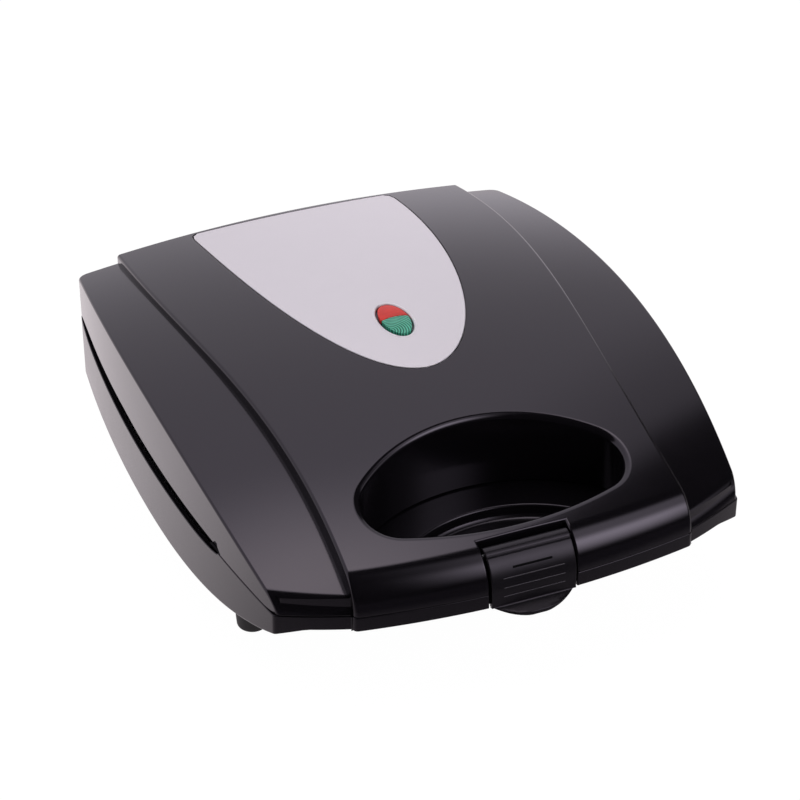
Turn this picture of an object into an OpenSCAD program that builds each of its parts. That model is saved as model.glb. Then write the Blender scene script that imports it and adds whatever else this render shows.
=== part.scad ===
// Sandwich toaster for four slices: a base and a hinged lid, each with a heated
// plate, and a clip on the handle that keeps the lid shut.
// Millimetres. +X is to the right seen from the front, the handle faces -Y,
// the feet stand on z = 0 and the hinge runs along X at the back.

/* [Overall] */
// Width across the widest point of the side walls
body_w = 288; // [240:2:346]
// Place of the widest point, ahead of or behind the origin
widest_y = 15; // [0:1:30]
// Distance from the origin to the front of the handle
front_reach = 177.5; // [165:0.5:214]
// Distance from the origin to the back wall
rear_reach = 174.5; // [160:0.5:210]
// Depth of the base below the joint face
base_h = 39.5; // [33:0.5:48]
// Height of the lid's crest above the joint face
lid_h = 53.8; // [48:0.2:65]
// Height of the feet below the base
foot_h = 12.5; // [10:0.5:20]
// Thickness of the moulded walls
wall = 2.6; // [2:0.1:3.2]
// Running gap between the closed lid and the base
gap = 0.3; // [0.3:0.05:0.5]

/* [Housing form] */
// Radius of the bowed side walls in plan
side_r = 1050; // [700:10:1500]
// Radius of the crown across the lid
crown_r = 1250; // [1000:10:1600]
// Mean width of the raised middle of the lid
deck_w = 203; // [190:1:214]
// How much the raised middle narrows and widens along its length
deck_flare = 8; // [0:0.5:10]
// Height of the step beside the raised middle, at the crest
step_h = 5; // [3:0.5:7]
// Radius of the handle's rounded front edge
handle_roll = 22; // [18:1:26]
// Radius of the rounded front edge beside the handle
shoulder_roll = 13; // [10:1:15]
// Height of the base's lip below the joint face at the front
lip_h = 8.5; // [7:0.5:12]
// Height of the side slot between the housings, at its middle
slot_h = 5.8; // [4:0.2:7]

/* [Grip] */
// Width of the hand opening
grip_w = 145; // [132:1:156]
// Depth of the hand opening from front to back
grip_d = 68.5; // [62:0.5:74]
// Width of the handle bar in front of the hand opening
grip_bar = 23; // [22.5:0.5:28]
// Depth of the finger well in the base below the hand opening
well_d = 7; // [5:0.5:8]

/* [Trim] */
// Width of the inlaid plate
trim_w = 126; // [100:1:150]
// Length of the inlaid plate's pointed part
trim_len = 200; // [170:1:205]
// Thickness of the inlaid plate
trim_t = 1.2; // [0.8:0.1:1.6]
// Width of the lens
lens_w = 18; // [14:0.5:22]
// Length of the lens
lens_len = 34; // [26:0.5:40]
// How far the lens stands out of the lid
lens_proud = 1.2; // [0.6:0.1:2]

/* [Hot plates] */
// Depth of each sandwich pocket
pocket_d = 12; // [9:0.5:14]
// Thickness of the cast plates
plate_t = 3; // [2.5:0.5:3.6]
// Width of the lands between the pockets
land_w = 14; // [12:1:17]
// Width of the ridge that cuts each sandwich across
ridge_w = 10; // [8:0.5:12]
// Room between the plates and the housing walls
plate_room = 1.5; // [1:0.1:2]
// Diameter of the heating rods
rod_d = 6.6; // [5.5:0.1:7]
// Radius of the plate screws' shanks
screw_r = 2; // [1.6:0.1:2.4]

/* [Hinge and clip] */
// Radius of the hinge pins
pin_r = 2.2; // [1.8:0.1:2.7]
// Radius of the hinge knuckles
knuckle_r = 5; // [4.6:0.1:6]
// Distance of each hinge from the middle of the back
hinge_x = 70; // [58:1:80]
// Width of each lid knuckle
knuckle_w = 16; // [12:1:20]
// Width of each ear on the base
ear_w = 7; // [5:0.5:9]
// Width of the clip
clip_w = 47; // [38:1:56]
// Thickness of the clip
clip_t = 3.4; // [3:0.1:4]
// Radius of the clip's pin
clip_pin_r = 1.5; // [1.2:0.1:1.8]

/* [Feet and inlet] */
// Radius of the feet at the housing
foot_r = 10; // [8:0.5:11]
// Radius of the inlet for a mains lead
inlet_r = 3.6; // [3:0.1:4.5]

/* [Hidden] */

black = "#1c1b1e";
coating = "#33333a";
steel = "#b9bbc0";

eps = 0.05;
fit = 0.05;
fine = 48;
big = 360;

// Heights
part_z = foot_h + base_h;
crest_z = part_z + lid_h;
crown_z = crest_z - crown_r;
base_floor_z = foot_h + wall;

// Long plan arcs
handle_bow_r = 497;
shoulder_bow_r = 285;
shoulder_apex = front_reach + 4.5;
rear_bow_r = 1640;
corner_trim_r = norm([body_w / 2, rear_reach]) - 16;
shoulder_front = front_reach - 12.1;

// Side sections of the lid: how far each falls from its apex to its ends
function arc_r(reach, drop) = (reach * reach + drop * drop) / (2 * drop);
deck_apex_y = widest_y;
deck_front_drop = 37.725;
deck_rear_drop = 17.89;
deck_front_r = arc_r(front_reach + deck_apex_y, deck_front_drop);
deck_rear_r = arc_r(rear_reach - deck_apex_y, deck_rear_drop);
shoulder_apex_y = widest_y + 15;
shoulder_front_drop = 40.2;
shoulder_rear_drop = 18.62;
shoulder_front_r = arc_r(shoulder_front + shoulder_apex_y, shoulder_front_drop);
shoulder_rear_r = arc_r(rear_reach - shoulder_apex_y, shoulder_rear_drop);
deck_period = 0.75;

// Base section: nearly upright sides, underside swept up to the front lip
draft = 0.8;
chine = 1.5;
keel_y = widest_y;
lip_y = 20.5 - front_reach;
sweep_power = 2.8;
function under_z(y) = y > keel_y ? foot_h
    : foot_h + (base_h - lip_h) * pow(min(1, (keel_y - y) / (keel_y - lip_y)), sweep_power);

// Grip
grip_front = -front_reach + grip_bar;
grip_rear = grip_front + grip_d;
grip_bow_r = 191;
grip_bow_y = grip_front + grip_bow_r;
grip_end_r = 20;
grip_end_x = grip_w / 2 - grip_end_r;
grip_end_y = grip_bow_y - sqrt(pow(grip_bow_r - grip_end_r, 2) - pow(grip_end_x, 2));
grip_arch_r = (pow(grip_end_x, 2) + pow(grip_rear - grip_end_y, 2) - pow(grip_end_r, 2))
    / (2 * (grip_rear - grip_end_y - grip_end_r));
grip_arch_y = grip_rear - grip_arch_r;
deck_land = 3.5;
deck_end = grip_rear + wall + deck_land;
well_r = 72;
well_apex = grip_rear - 21;
well_front = grip_front + 3;
cover_t = 2;

// Hot plates, from the cooking face outwards
plate_front = deck_end + 1.4;
plate_rear = rear_reach - 14.5;
plate_mid = (plate_front + plate_rear) / 2;
plate_hd = (plate_rear - plate_front) / 2;
plate_inset = wall + plate_room;
function side_hw(y) = body_w / 2 - side_r + sqrt(side_r * side_r - pow(y - widest_y, 2));
plate_hw = side_hw(plate_rear) - plate_inset;
flange_t = 3.5;
field_x = plate_hw - 7;
field_y = plate_hd - 7;
tub_z = pocket_d + plate_t;
pocket_corner = 14;
screw_boss_r = 5;
boss_x = plate_hw / 2;
boss_y = field_y * 0.55;
rod_r = rod_d / 2;
rod_z = tub_z + rod_r + eps;
rod_x = boss_x + screw_boss_r + rod_r + 20;
rod_y = boss_y + screw_boss_r + rod_r + 6;
rod_bend = 24;
leg_bend = 10;
leg_x = 26;
leg_len = 24;
clip_strap_t = 1;
strap_w = 12;
stack_h = tub_z + rod_d + clip_strap_t + 1.4;
sheet_t = 0.6;
tray_rim = 6;
screw_len = stack_h + sheet_t + 7;
screw_head_r = screw_r * 2;

// Hinge
hinge_y = rear_reach + knuckle_r + 0.5;
hinge_z = part_z - 2;
pin_len = knuckle_w + 2 * ear_w + 2 * gap;

// Clip on the handle
roll_y = -front_reach + handle_roll;
roll_z = crest_z - deck_front_r
    + sqrt(pow(deck_front_r - handle_roll, 2) - pow(roll_y - deck_apex_y, 2));
clip_barrel_r = 4.5;
clip_pivot_angle = 124;
clip_pivot_reach = handle_roll - clip_barrel_r + 0.6;
clip_y = roll_y + clip_pivot_reach * cos(clip_pivot_angle);
clip_z = roll_z + clip_pivot_reach * sin(clip_pivot_angle);
clip_side_gap = 1;
clip_outer_r = handle_roll + 0.4;
bay_hw = clip_w / 2 + clip_side_gap;
bay_y = clip_y + clip_barrel_r + 0.5;
clip_end_z = part_z - 13;
thumb_reach = 7.1;
catch_y = -front_reach + clip_t + 0.6;

// Inlet and feet
inlet_x = 40;
inlet_z = foot_h + base_h * 0.42;
gland_flange_r = 8;
foot_front_x = body_w / 2 - 23;
foot_rear_x = body_w / 2 - 32;
foot_front_y = -88;
foot_rear_y = rear_reach - 30;
foot_seat = 4;

// ---- outline helpers -------------------------------------------------------

function unit(v) = v / norm(v);
function turn(a) = a > 180 ? a - 360 : a < -180 ? a + 360 : a;
function heading(v) = atan2(v[1], v[0]);

// One rounded corner at p, coming from q and going to s; grow moves the arc
// outwards about the same centre.
function corner(q, p, s, r, grow, n) =
    let (a = unit([q[0] - p[0], q[1] - p[1]]),
         b = unit([s[0] - p[0], s[1] - p[1]]),
         half = acos(a * b) / 2,
         c = [p[0], p[1]] + unit(a + b) * r / sin(half),
         t0 = [p[0], p[1]] + a * r / tan(half),
         t1 = [p[0], p[1]] + b * r / tan(half),
         h0 = heading(t0 - c),
         sweep = turn(heading(t1 - c) - h0))
    [for (i = [0 : n]) c + (r + grow) * [cos(h0 + sweep * i / n), sin(h0 + sweep * i / n)]];

// Closed outline through [x, y, radius] corners
function rounded(pts, grow = 0, n = 8) =
    let (m = len(pts))
    [for (i = [0 : m - 1])
        each pts[i][2] <= 0
            ? [[pts[i][0], pts[i][1]]]
            : corner(pts[(i + m - 1) % m], pts[i], pts[(i + 1) % m], pts[i][2], grow, n)];

function arc_points(c, r, a0, a1, n) =
    [for (i = [0 : n]) c + r * [cos(a0 + (a1 - a0) * i / n), sin(a0 + (a1 - a0) * i / n)]];

function oval(w, l, n = 40) =
    [for (i = [0 : n - 1]) [w / 2 * cos(360 * i / n), l / 2 * sin(360 * i / n)]];

function deck_hw(y) = deck_w / 2 + deck_flare * sin(deck_period * y);

// ---- lid and base forms ----------------------------------------------------

// Side section of the lid as [height above the crown axis, y] points
function lid_section(apex_y, apex_z, front_r, rear_r, roll, front, inset) =
    let (c_front = [apex_y, apex_z - front_r],
         c_rear = [apex_y, apex_z - rear_r],
         cy = front + roll,
         cz = c_front[1] + sqrt(pow(front_r - roll, 2) - pow(cy - apex_y, 2)),
         tangent = heading([cy, cz] - c_front),
         rear_a = acos((rear_reach + 20 - apex_y) / (rear_r - inset)))
    concat(
        [[front + inset, part_z - 20]],
        arc_points([cy, cz], roll - inset, 180, tangent, 6),
        arc_points(c_front, front_r - inset, tangent, 90, 9),
        [for (i = [1 : 7]) c_rear + (rear_r - inset)
            * [cos(90 + (rear_a - 90) * i / 7), sin(90 + (rear_a - 90) * i / 7)]],
        [[rear_reach + 20, part_z - 20]]);

// The section swept round the crown axis, which lies along Y below the table
module crowned(section) {
    half_angle = 9;
    translate([0, 0, crown_z])
        rotate([-90, 0, 0])
        rotate([0, 0, 270 - half_angle])
        rotate_extrude(angle = 2 * half_angle, $fn = 2 * big)
        polygon([for (p = section) [p[1] - crown_z, p[0]]]);
}

// Upright drum with its wall at the given reach along one direction
module drum(r, x, y, z0, z1) {
    translate([x, y, z0]) cylinder(r = r, h = z1 - z0, $fn = big);
}

module side_drums(inset, z0, z1) {
    intersection() {
        drum(side_r - inset, body_w / 2 - side_r, widest_y, z0, z1);
        drum(side_r - inset, side_r - body_w / 2, widest_y, z0, z1);
    }
}

module shoulder_plan(inset, z0, z1) {
    intersection() {
        side_drums(inset, z0, z1);
        drum(shoulder_bow_r - inset, 0, shoulder_bow_r - shoulder_apex, z0, z1);
        drum(rear_bow_r - inset, 0, rear_reach - rear_bow_r, z0, z1);
        drum(corner_trim_r - inset, 0, 0, z0, z1);
    }
}

module deck_strip(inset, z0, z1) {
    rows = 14;
    y0 = -front_reach - 5;
    y1 = rear_reach + 5;
    ys = [for (i = [0 : rows]) y0 + (y1 - y0) * i / rows];
    translate([0, 0, z0])
        linear_extrude(z1 - z0)
        polygon(concat(
            [for (y = ys) [deck_hw(y) - inset, y]],
            [for (i = [rows : -1 : 0]) [inset - deck_hw(ys[i]), ys[i]]]));
}

module deck_plan(inset, z0, z1) {
    intersection() {
        deck_strip(inset, z0, z1);
        drum(handle_bow_r - inset, 0, handle_bow_r - front_reach, z0, z1);
        drum(rear_bow_r - inset, 0, rear_reach - rear_bow_r, z0, z1);
    }
}

module lid_shoulders(inset, z0) {
    intersection() {
        shoulder_plan(inset, z0, crest_z + 20);
        crowned(lid_section(shoulder_apex_y, crest_z - step_h, shoulder_front_r,
            shoulder_rear_r, shoulder_roll, -shoulder_front, inset));
    }
}

// The raised middle; lift raises its surface without moving its walls
module lid_deck(inset, z0, lift = 0) {
    intersection() {
        deck_plan(inset, z0, crest_z + 20);
        crowned(lid_section(deck_apex_y, crest_z, deck_front_r, deck_rear_r,
            handle_roll, -front_reach, inset - lift));
    }
}

module lid_form(inset, z0) {
    lid_shoulders(inset, z0);
    lid_deck(inset, z0);
}

// Drafted sides and dished underside of the base
module base_sides(inset) {
    intersection() {
        base_disc(inset, 1);
        base_disc(inset, -1);
    }
}

module base_disc(inset, side) {
    top_z = part_z + 1;
    floor_z = foot_h + inset;
    r = side_r - inset;
    translate([side * (body_w / 2 - side_r), widest_y, 0])
        rotate_extrude($fn = big)
        polygon([
            [0, floor_z], [r - draft - chine, floor_z],
            [r - draft, floor_z + chine], [r, top_z], [0, top_z]
        ]);
}

// Side view of the base: flat floor, underside swept up, front lip
module base_profile(inset) {
    far = front_reach + 20;
    heel_r = 7;
    steps = 12;
    half_w = body_w / 2 + 10;
    back = rear_reach - inset;
    rotate([90, 0, 90])
        translate([0, 0, -half_w])
        linear_extrude(2 * half_w)
        polygon(concat(
            [[back, part_z + 5]],
            arc_points([back - heel_r + inset, foot_h + heel_r], heel_r - inset, 0, -90, 6),
            [for (i = [0 : steps])
                let (y = keel_y + (lip_y - keel_y) * i / steps)
                [y, under_z(y) + inset]],
            [[-far, part_z - lip_h + inset], [-far, part_z + 5]]));
}

module base_form(inset, z1) {
    intersection() {
        union() {
            shoulder_plan(inset, foot_h, z1);
            deck_plan(inset, foot_h, z1);
        }
        base_sides(inset);
        base_profile(inset);
    }
}

// ---- grip, trim and slot outlines ------------------------------------------

// Hand opening: a bowed front, round ends and an arched rear, all tangent
module grip_outline(grow) {
    to_front = atan2(grip_end_y - grip_bow_y, grip_end_x);
    to_rear = atan2(grip_end_y - grip_arch_y, grip_end_x);
    turns = 14;
    step = (to_rear - to_front) / turns;
    right = arc_points([grip_end_x, grip_end_y], grip_end_r + grow,
                       to_front + step, to_rear - step, turns - 2);
    polygon(concat(
        arc_points([0, grip_bow_y], grip_bow_r + grow, -180 - to_front, to_front, 20),
        right,
        arc_points([0, grip_arch_y], grip_arch_r + grow, to_rear, 180 - to_rear, 20),
        [for (i = [turns - 2 : -1 : 0]) [-right[i][0], right[i][1]]]));
}

module well_outline(grow) {
    intersection() {
        translate([0, well_apex - well_r]) circle(r = well_r + grow, $fn = 96);
        translate([-well_r, well_front - grow])
            square([2 * well_r, well_apex - well_front + 2 * grow]);
    }
}

trim_back = rear_reach - 6;
trim_shoulder = rear_reach - 14.5;
trim_power = 0.909;

function trim_points(grow) =
    let (hw = trim_w / 2 + grow,
         tip = trim_len + grow,
         n = 16)
    concat(
        [for (i = [-n : n])
            let (a = 90 * i / n)
            [hw * sin(a), trim_shoulder - tip * pow(cos(a), trim_power)]],
        [[hw - 1, trim_back - 3 + grow], [hw - 4, trim_back + grow],
         [4 - hw, trim_back + grow], [1 - hw, trim_back - 3 + grow]]);

lens_y = trim_shoulder - trim_len + 47;

// Arched opening along both side walls between lid and base
module side_slot(depth, up) {
    slot_front = grip_rear - 6.5;
    slot_rear = rear_reach - 17;
    slot_reach = 15;
    mid = (slot_front + slot_rear) / 2;
    half = (slot_rear - slot_front) / 2;
    rise = up ? depth : -depth;
    r = (half * half + depth * depth) / (2 * depth);
    start = asin(half / r);
    for (side = [-1, 1])
        translate([side * body_w / 2 - slot_reach, mid, part_z])
            rotate([90, 0, 90])
            linear_extrude(2 * slot_reach)
            polygon(concat(
                [for (i = [0 : 12])
                    let (a = start * (1 - i / 6))
                    [r * sin(a), (up ? 1 : -1) * (r * cos(a) - r + depth)]],
                [[-half, -sign(rise)], [half, -sign(rise)]]));
}

// ---- hot plate group, built from the cooking face (z = 0) outwards ---------

module above_joint() {
    translate([0, 0, part_z + gap / 2]) children();
}

module below_joint() {
    translate([0, 0, part_z - gap / 2]) mirror([0, 0, 1]) children();
}

boss_places = [
    [0, plate_mid - boss_y], [0, plate_mid + boss_y],
    [-boss_x, plate_mid], [boss_x, plate_mid]
];

// The two triangular pockets of each of the four slices
module pockets(h, grow) {
    in_x = land_w / 2 - ridge_w / 2;
    in_y = land_w / 2 - ridge_w / 2;
    for (sx = [-1, 1], sy = [-1, 1])
        translate([0, plate_mid, 0])
            scale_flip(sx, sy)
            for (tri = [
                [[in_x, in_y], [field_x, in_y], [field_x, field_y]],
                [[in_x, in_y], [field_x, field_y], [in_x, field_y]]
            ])
            linear_extrude(h)
            polygon(rounded([for (p = tri) [p[0], p[1], pocket_corner]],
                grow - ridge_w / 2));
}

module scale_flip(sx, sy) {
    mirror([sx < 0 ? 1 : 0, 0, 0]) mirror([0, sy < 0 ? 1 : 0, 0]) children();
}

module hot_plate() {
    difference() {
        union() {
            intersection() {
                shoulder_plan(plate_inset, 0, flange_t);
                translate([-body_w / 2, plate_front, 0])
                    cube([body_w, plate_rear - plate_front, flange_t]);
            }
            pockets(tub_z, plate_t);
            for (p = boss_places)
                translate([p[0], p[1], 0]) cylinder(r = screw_boss_r, h = stack_h, $fn = fine);
        }
        translate([0, 0, -1]) pockets(pocket_d + 1, 0);
        for (p = boss_places)
            translate([p[0], p[1], 0]) {
                translate([0, 0, -1])
                    cylinder(r = screw_r + 0.3, h = stack_h + 2, $fn = fine);
                translate([0, 0, -1])
                    cylinder(r = screw_head_r + 0.3, h = screw_r + 1.3, $fn = fine);
            }
    }
}

module plate_screws() {
    drive_w = 1;
    for (p = boss_places)
        translate([p[0], p[1], 0])
            difference() {
                union() {
                    translate([0, 0, 0.3])
                        cylinder(r = screw_head_r, h = screw_r, $fn = fine);
                    translate([0, 0, 0.3 + screw_r])
                        cylinder(r = screw_r, h = screw_len - screw_r - 0.3, $fn = fine);
                }
                for (a = [0, 90])
                    rotate([0, 0, a])
                        translate([-screw_head_r * 0.6, -drive_w / 2, 0])
                        cube([screw_head_r * 1.2, drive_w, 1.3]);
            }
}

function bend_points(cx, cy, r, a0, a1) = [
    for (p = arc_points([cx, cy], r, a0, a1, 5)) [p[0], p[1], rod_z]];

// Centre line of the rod: a loop open at the back, its two legs turned rearwards
function rod_path() =
    let (x = rod_x - rod_bend,
         y0 = plate_mid - rod_y + rod_bend,
         y1 = plate_mid + rod_y - rod_bend,
         lx = leg_x + leg_bend,
         ly = plate_mid + rod_y + leg_bend,
         end_y = plate_mid + rod_y + leg_len)
    concat(
        [[leg_x, end_y, rod_z]],
        bend_points(lx, ly, leg_bend, 180, 270),
        bend_points(x, y1, rod_bend, 90, 0),
        bend_points(x, y0, rod_bend, 0, -90),
        bend_points(-x, y0, rod_bend, 270, 180),
        bend_points(-x, y1, rod_bend, 180, 90),
        bend_points(-lx, ly, leg_bend, 270, 360),
        [[-leg_x, end_y, rod_z]]);

// Round tube swept along points, each ring square to the mean of its two runs
module tube(path, r, sides = 8) {
    last = len(path) - 1;
    runs = [for (i = [0 : last - 1]) unit(path[i + 1] - path[i])];
    rings = [for (i = [0 : last])
        let (before = runs[max(i - 1, 0)],
             after = runs[min(i, last - 1)],
             t = unit(before + after),
             stretch = 1 / max(0.5, t * after),
             helper = abs(t[2]) > 0.9 ? [1, 0, 0] : [0, 0, 1],
             u = unit(cross(t, helper)),
             v = cross(t, u))
        [for (k = [0 : sides - 1])
            let (a = 360 * (k + 0.5) / sides)
            path[i] + r * stretch * cos(a) * u + r * sin(a) * v]];
    polyhedron(
        points = [for (ring = rings) each ring],
        faces = concat(
            [[for (k = [0 : sides - 1]) k]],
            [for (i = [0 : last - 1], k = [0 : sides - 1])
                let (a = i * sides + k, b = i * sides + (k + 1) % sides)
                each [[a, b + sides, b], [a, a + sides, b + sides]]],
            [[for (k = [sides - 1 : -1 : 0]) last * sides + k]]));
}

module heating_rod() {
    tube(rod_path(), rod_r);
}

// Ceramic bead and blade terminal at each end of the rod
module rod_ends() {
    y_end = plate_mid + rod_y + leg_len;
    bead_len = 5;
    blade_len = 6;
    for (side = [-1, 1])
        translate([side * leg_x, y_end, rod_z]) {
            rotate([-90, 0, 0]) cylinder(r = rod_r - 0.5, h = bead_len, $fn = 24);
            translate([-2, bead_len, -0.4]) cube([4, blade_len, 0.8]);
        }
}

// Sheet straps that hold the rod against the pocket floors
module rod_straps() {
    reach = rod_r + 7;
    for (p = [[rod_x, plate_mid + field_y / 3, 0], [-rod_x, plate_mid + field_y / 3, 0],
              [rod_x / 2, plate_mid - rod_y, 90], [-rod_x / 2, plate_mid - rod_y, 90]])
        translate([p[0], p[1], tub_z + eps])
            rotate([0, 0, p[2]]) {
                translate([-rod_r - clip_strap_t - 0.1, -strap_w / 2, rod_d + 0.1])
                    cube([2 * (rod_r + clip_strap_t + 0.1), strap_w, clip_strap_t]);
                for (side = [-1, 1]) {
                    translate([side > 0 ? rod_r + 0.1 : -rod_r - clip_strap_t - 0.1,
                               -strap_w / 2, 0])
                        cube([clip_strap_t, strap_w, rod_d + 0.2]);
                    translate([side > 0 ? rod_r + 0.1 : -reach, -strap_w / 2, 0])
                        cube([reach - rod_r - 0.1, strap_w, clip_strap_t]);
                }
            }
}

module tray(inset, z0, z1) {
    margin = 3;
    intersection() {
        shoulder_plan(plate_inset + margin + inset, z0, z1);
        translate([-body_w / 2, plate_front + margin + inset, z0])
            cube([body_w, plate_rear - plate_front - 4 - 2 * margin - 2 * inset, z1 - z0]);
    }
}

module reflector() {
    window = 13;
    difference() {
        tray(0, stack_h - tray_rim, stack_h + sheet_t);
        tray(sheet_t, stack_h - tray_rim - 1, stack_h);
        for (p = boss_places)
            translate([p[0], p[1], 0])
                cylinder(r = screw_r + 0.3, h = stack_h + 5, $fn = fine);
        for (side = [-1, 1])
            translate([side * window_x, plate_mid + boss_y / 2, 0])
                cylinder(r = window, h = stack_h + 5, $fn = fine);
        translate([-leg_x - 8, plate_mid + rod_y + 6, stack_h - tray_rim - 1])
            cube([2 * leg_x + 16, 60, tray_rim + 3]);
    }
}

window_x = boss_x * 0.55;

// Snap-disc switch standing on a pocket floor
module disc_switch(x) {
    can_r = 8;
    can_h = 5;
    translate([x, plate_mid + boss_y / 2, tub_z + eps]) {
        cylinder(r = can_r + 1, h = 1, $fn = fine);
        cylinder(r = can_r, h = can_h, $fn = fine);
        cylinder(r = can_r - 1.5, h = can_h + 3, $fn = fine);
        for (side = [-1, 1])
            translate([side * 4 - 0.4, -2.5, can_h]) cube([0.8, 5, 9]);
    }
}

// ---- base ------------------------------------------------------------------

module hinge_ear(x, up) {
    root_y = rear_reach - wall;
    root_h = 17;
    tip_y = hinge_y + knuckle_r - 1;
    w = up ? knuckle_w : ear_w;
    translate([x - w / 2, hinge_y, hinge_z])
        rotate([0, 90, 0])
        cylinder(r = knuckle_r, h = w, $fn = fine);
    translate([x - w / 2, 0, 0])
        rotate([90, 0, 90])
        linear_extrude(w)
        polygon(up
            ? [[root_y, part_z + gap], [rear_reach + gap, part_z + gap],
               [hinge_y - 3, hinge_z - 3], [tip_y, hinge_z + 3], [root_y, hinge_z + root_h]]
            : [[root_y, part_z - gap], [hinge_y - 3, hinge_z + 2],
               [tip_y, hinge_z - 3], [root_y, hinge_z - root_h]]);
}

ear_offset = (knuckle_w + ear_w) / 2 + gap;

module lower_housing() {
    color(black)
    difference() {
        union() {
            difference() {
                base_form(0, part_z - gap / 2);
                difference() {
                    base_form(wall, part_z + 3);
                    front_deck();
                }
            }
            for (side = [-1, 1], k = [-1, 1])
                hinge_ear(side * hinge_x + k * ear_offset, false);
            foot_sockets();
            lower_bosses();
            intersection() {
                base_form(0, part_z - gap / 2);
                catch_wall();
            }
        }
        for (side = [-1, 1])
            translate([side * hinge_x - pin_len / 2 - 1, hinge_y, hinge_z])
                rotate([0, 90, 0])
                cylinder(r = pin_r + fit / 2, h = pin_len + 2, $fn = fine);
        side_slot(slot_h / 2, false);
        translate([0, 0, part_z - well_d]) linear_extrude(well_d + 5) well_outline(0);
        for (p = foot_places)
            translate([p[0], p[1], -1])
                cylinder(r = foot_r + fit, h = seat_z(p[1]) + 1, $fn = fine);
        translate([-bay_hw, -front_reach - 5, foot_h])
            cube([2 * bay_hw, catch_y + front_reach + 5, base_h + 5]);
        translate([inlet_x, rear_reach + 5, inlet_z])
            rotate([90, 0, 0])
            cylinder(r = inlet_r + 2 + fit, h = 30, $fn = fine);
        floor_vents();
    }
}

module front_deck() {
    translate([-body_w, -front_reach - 20, part_z - 3])
        cube([2 * body_w, front_reach + 20 + deck_end, 10]);
    translate([0, 0, part_z - well_d - 2.2]) linear_extrude(20) well_outline(2);
    translate([-body_w, deck_end - wall, foot_h])
        cube([2 * body_w, wall, base_h + 5]);
}

module catch_wall() {
    translate([-bay_hw - wall, -front_reach - 5, part_z - lip_h])
        cube([2 * (bay_hw + wall), catch_y + front_reach + 5 + wall, lip_h]);
}

module floor_vents() {
    count = 9;
    pitch = 12;
    for (i = [0 : count - 1])
        translate([(i - (count - 1) / 2) * pitch - 2, 20, foot_h - 1])
            cube([4, 46, wall + 2]);
}

foot_places = [
    [-foot_front_x, foot_front_y], [foot_front_x, foot_front_y],
    [-foot_rear_x, foot_rear_y], [foot_rear_x, foot_rear_y]
];

// Height of the socket's ceiling above the table
function seat_z(y) = under_z(y - foot_r) + foot_seat;

module foot_sockets() {
    socket_t = 2.4;
    intersection() {
        base_form(0, part_z - 5);
        for (p = foot_places)
            translate([p[0], p[1], foot_h - 1])
                cylinder(r = foot_r + socket_t, h = seat_z(p[1]) - foot_h + 1 + socket_t,
                    $fn = fine);
    }
}

module lower_bosses() {
    boss_z = part_z - gap / 2 - stack_h - sheet_t;
    for (p = boss_places)
        translate([p[0], p[1], foot_h + wall / 2])
            difference() {
                cylinder(r = screw_boss_r, h = boss_z - foot_h - wall / 2, $fn = fine);
                translate([0, 0, wall]) cylinder(r = screw_r + fit, h = base_h, $fn = fine);
            }
}

// Tapered rubber foot whose shoulder meets the housing above the place y
module foot(y) {
    tip = 8.4;
    edge = 2.5;
    waist = foot_r - 0.4;
    shoulder = under_z(y + foot_r);
    top = seat_z(y) - fit;
    rotate_extrude($fn = 64)
        polygon(concat(
            [[0, 0]],
            arc_points([tip - edge, edge], edge, -90, -8, 6),
            [[waist, shoulder - 0.1], [foot_r, shoulder], [foot_r, top], [0, top]]));
}

module front_feet() {
    color("#19191b")
    for (i = [0, 1])
        translate([foot_places[i][0], foot_places[i][1], 0]) foot(foot_places[i][1]);
}

module rear_feet() {
    color("#19191b")
    for (i = [2, 3])
        translate([foot_places[i][0], foot_places[i][1], 0]) foot(foot_places[i][1]);
}

module lower_heating_plate() {
    color(coating) below_joint() hot_plate();
}

module lower_heating_element() {
    color("#6f6a66") below_joint() heating_rod();
}

module lower_element_beads() {
    color("#e8e2d6") below_joint() rod_ends();
}

module lower_element_clips() {
    color(steel) below_joint() rod_straps();
}

module lower_reflector() {
    color(steel) below_joint() reflector();
}

module lower_plate_screws() {
    color("#8b8d92") below_joint() plate_screws();
}

module lower_cutout() {
    color("#c9b88f") below_joint() disc_switch(window_x);
}

block_at = [inlet_x - 30, plate_rear - 38];
block_size = [24, 16, 7];

module terminal_block() {
    color("#ece8dd")
    translate([block_at[0], block_at[1], base_floor_z])
        difference() {
            cube(block_size);
            for (i = [0 : 2])
                translate([4 + 8 * i, -1, 4])
                    rotate([-90, 0, 0])
                    cylinder(r = 1.6, h = block_size[1] + 2, $fn = 24);
        }
}

module earth_tag() {
    tag_r = 4;
    color("#b08a3c")
    translate([block_at[0] - 14, block_at[1] + 8, base_floor_z])
        difference() {
            union() {
                cylinder(r = tag_r, h = 1.2, $fn = fine);
                translate([0, -1.5, 0]) cube([9, 3, 0.8]);
                cylinder(r = 2.4, h = 3.6, $fn = 6);
            }
            translate([-1.8, -0.4, 2.6]) cube([3.6, 0.8, 2]);
        }
}

wire_r = 0.9;
wire_lane = 2.4;

module lower_wiring() {
    block_back = block_at[1] + block_size[1] + 0.1;
    z = base_floor_z + 4;
    last_lane = rear_reach - gland_sink - wall - gland_in - 3;
    color("#d8d4c8")
    for (i = [0 : 2])
        let (x = block_at[0] + 4 + 8 * i,
             lane = last_lane - wire_lane * (2 - i),
             exit_x = inlet_x + 9 + wire_lane * i)
        tube([
            [x, block_back, z],
            [x, lane, z + wire_lane * i],
            [exit_x, lane, z + wire_lane * i],
            [exit_x, lane, part_z - 12]
        ], wire_r, 6);
}

// Bush that a mains lead passes through
gland_in = 4;

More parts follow.
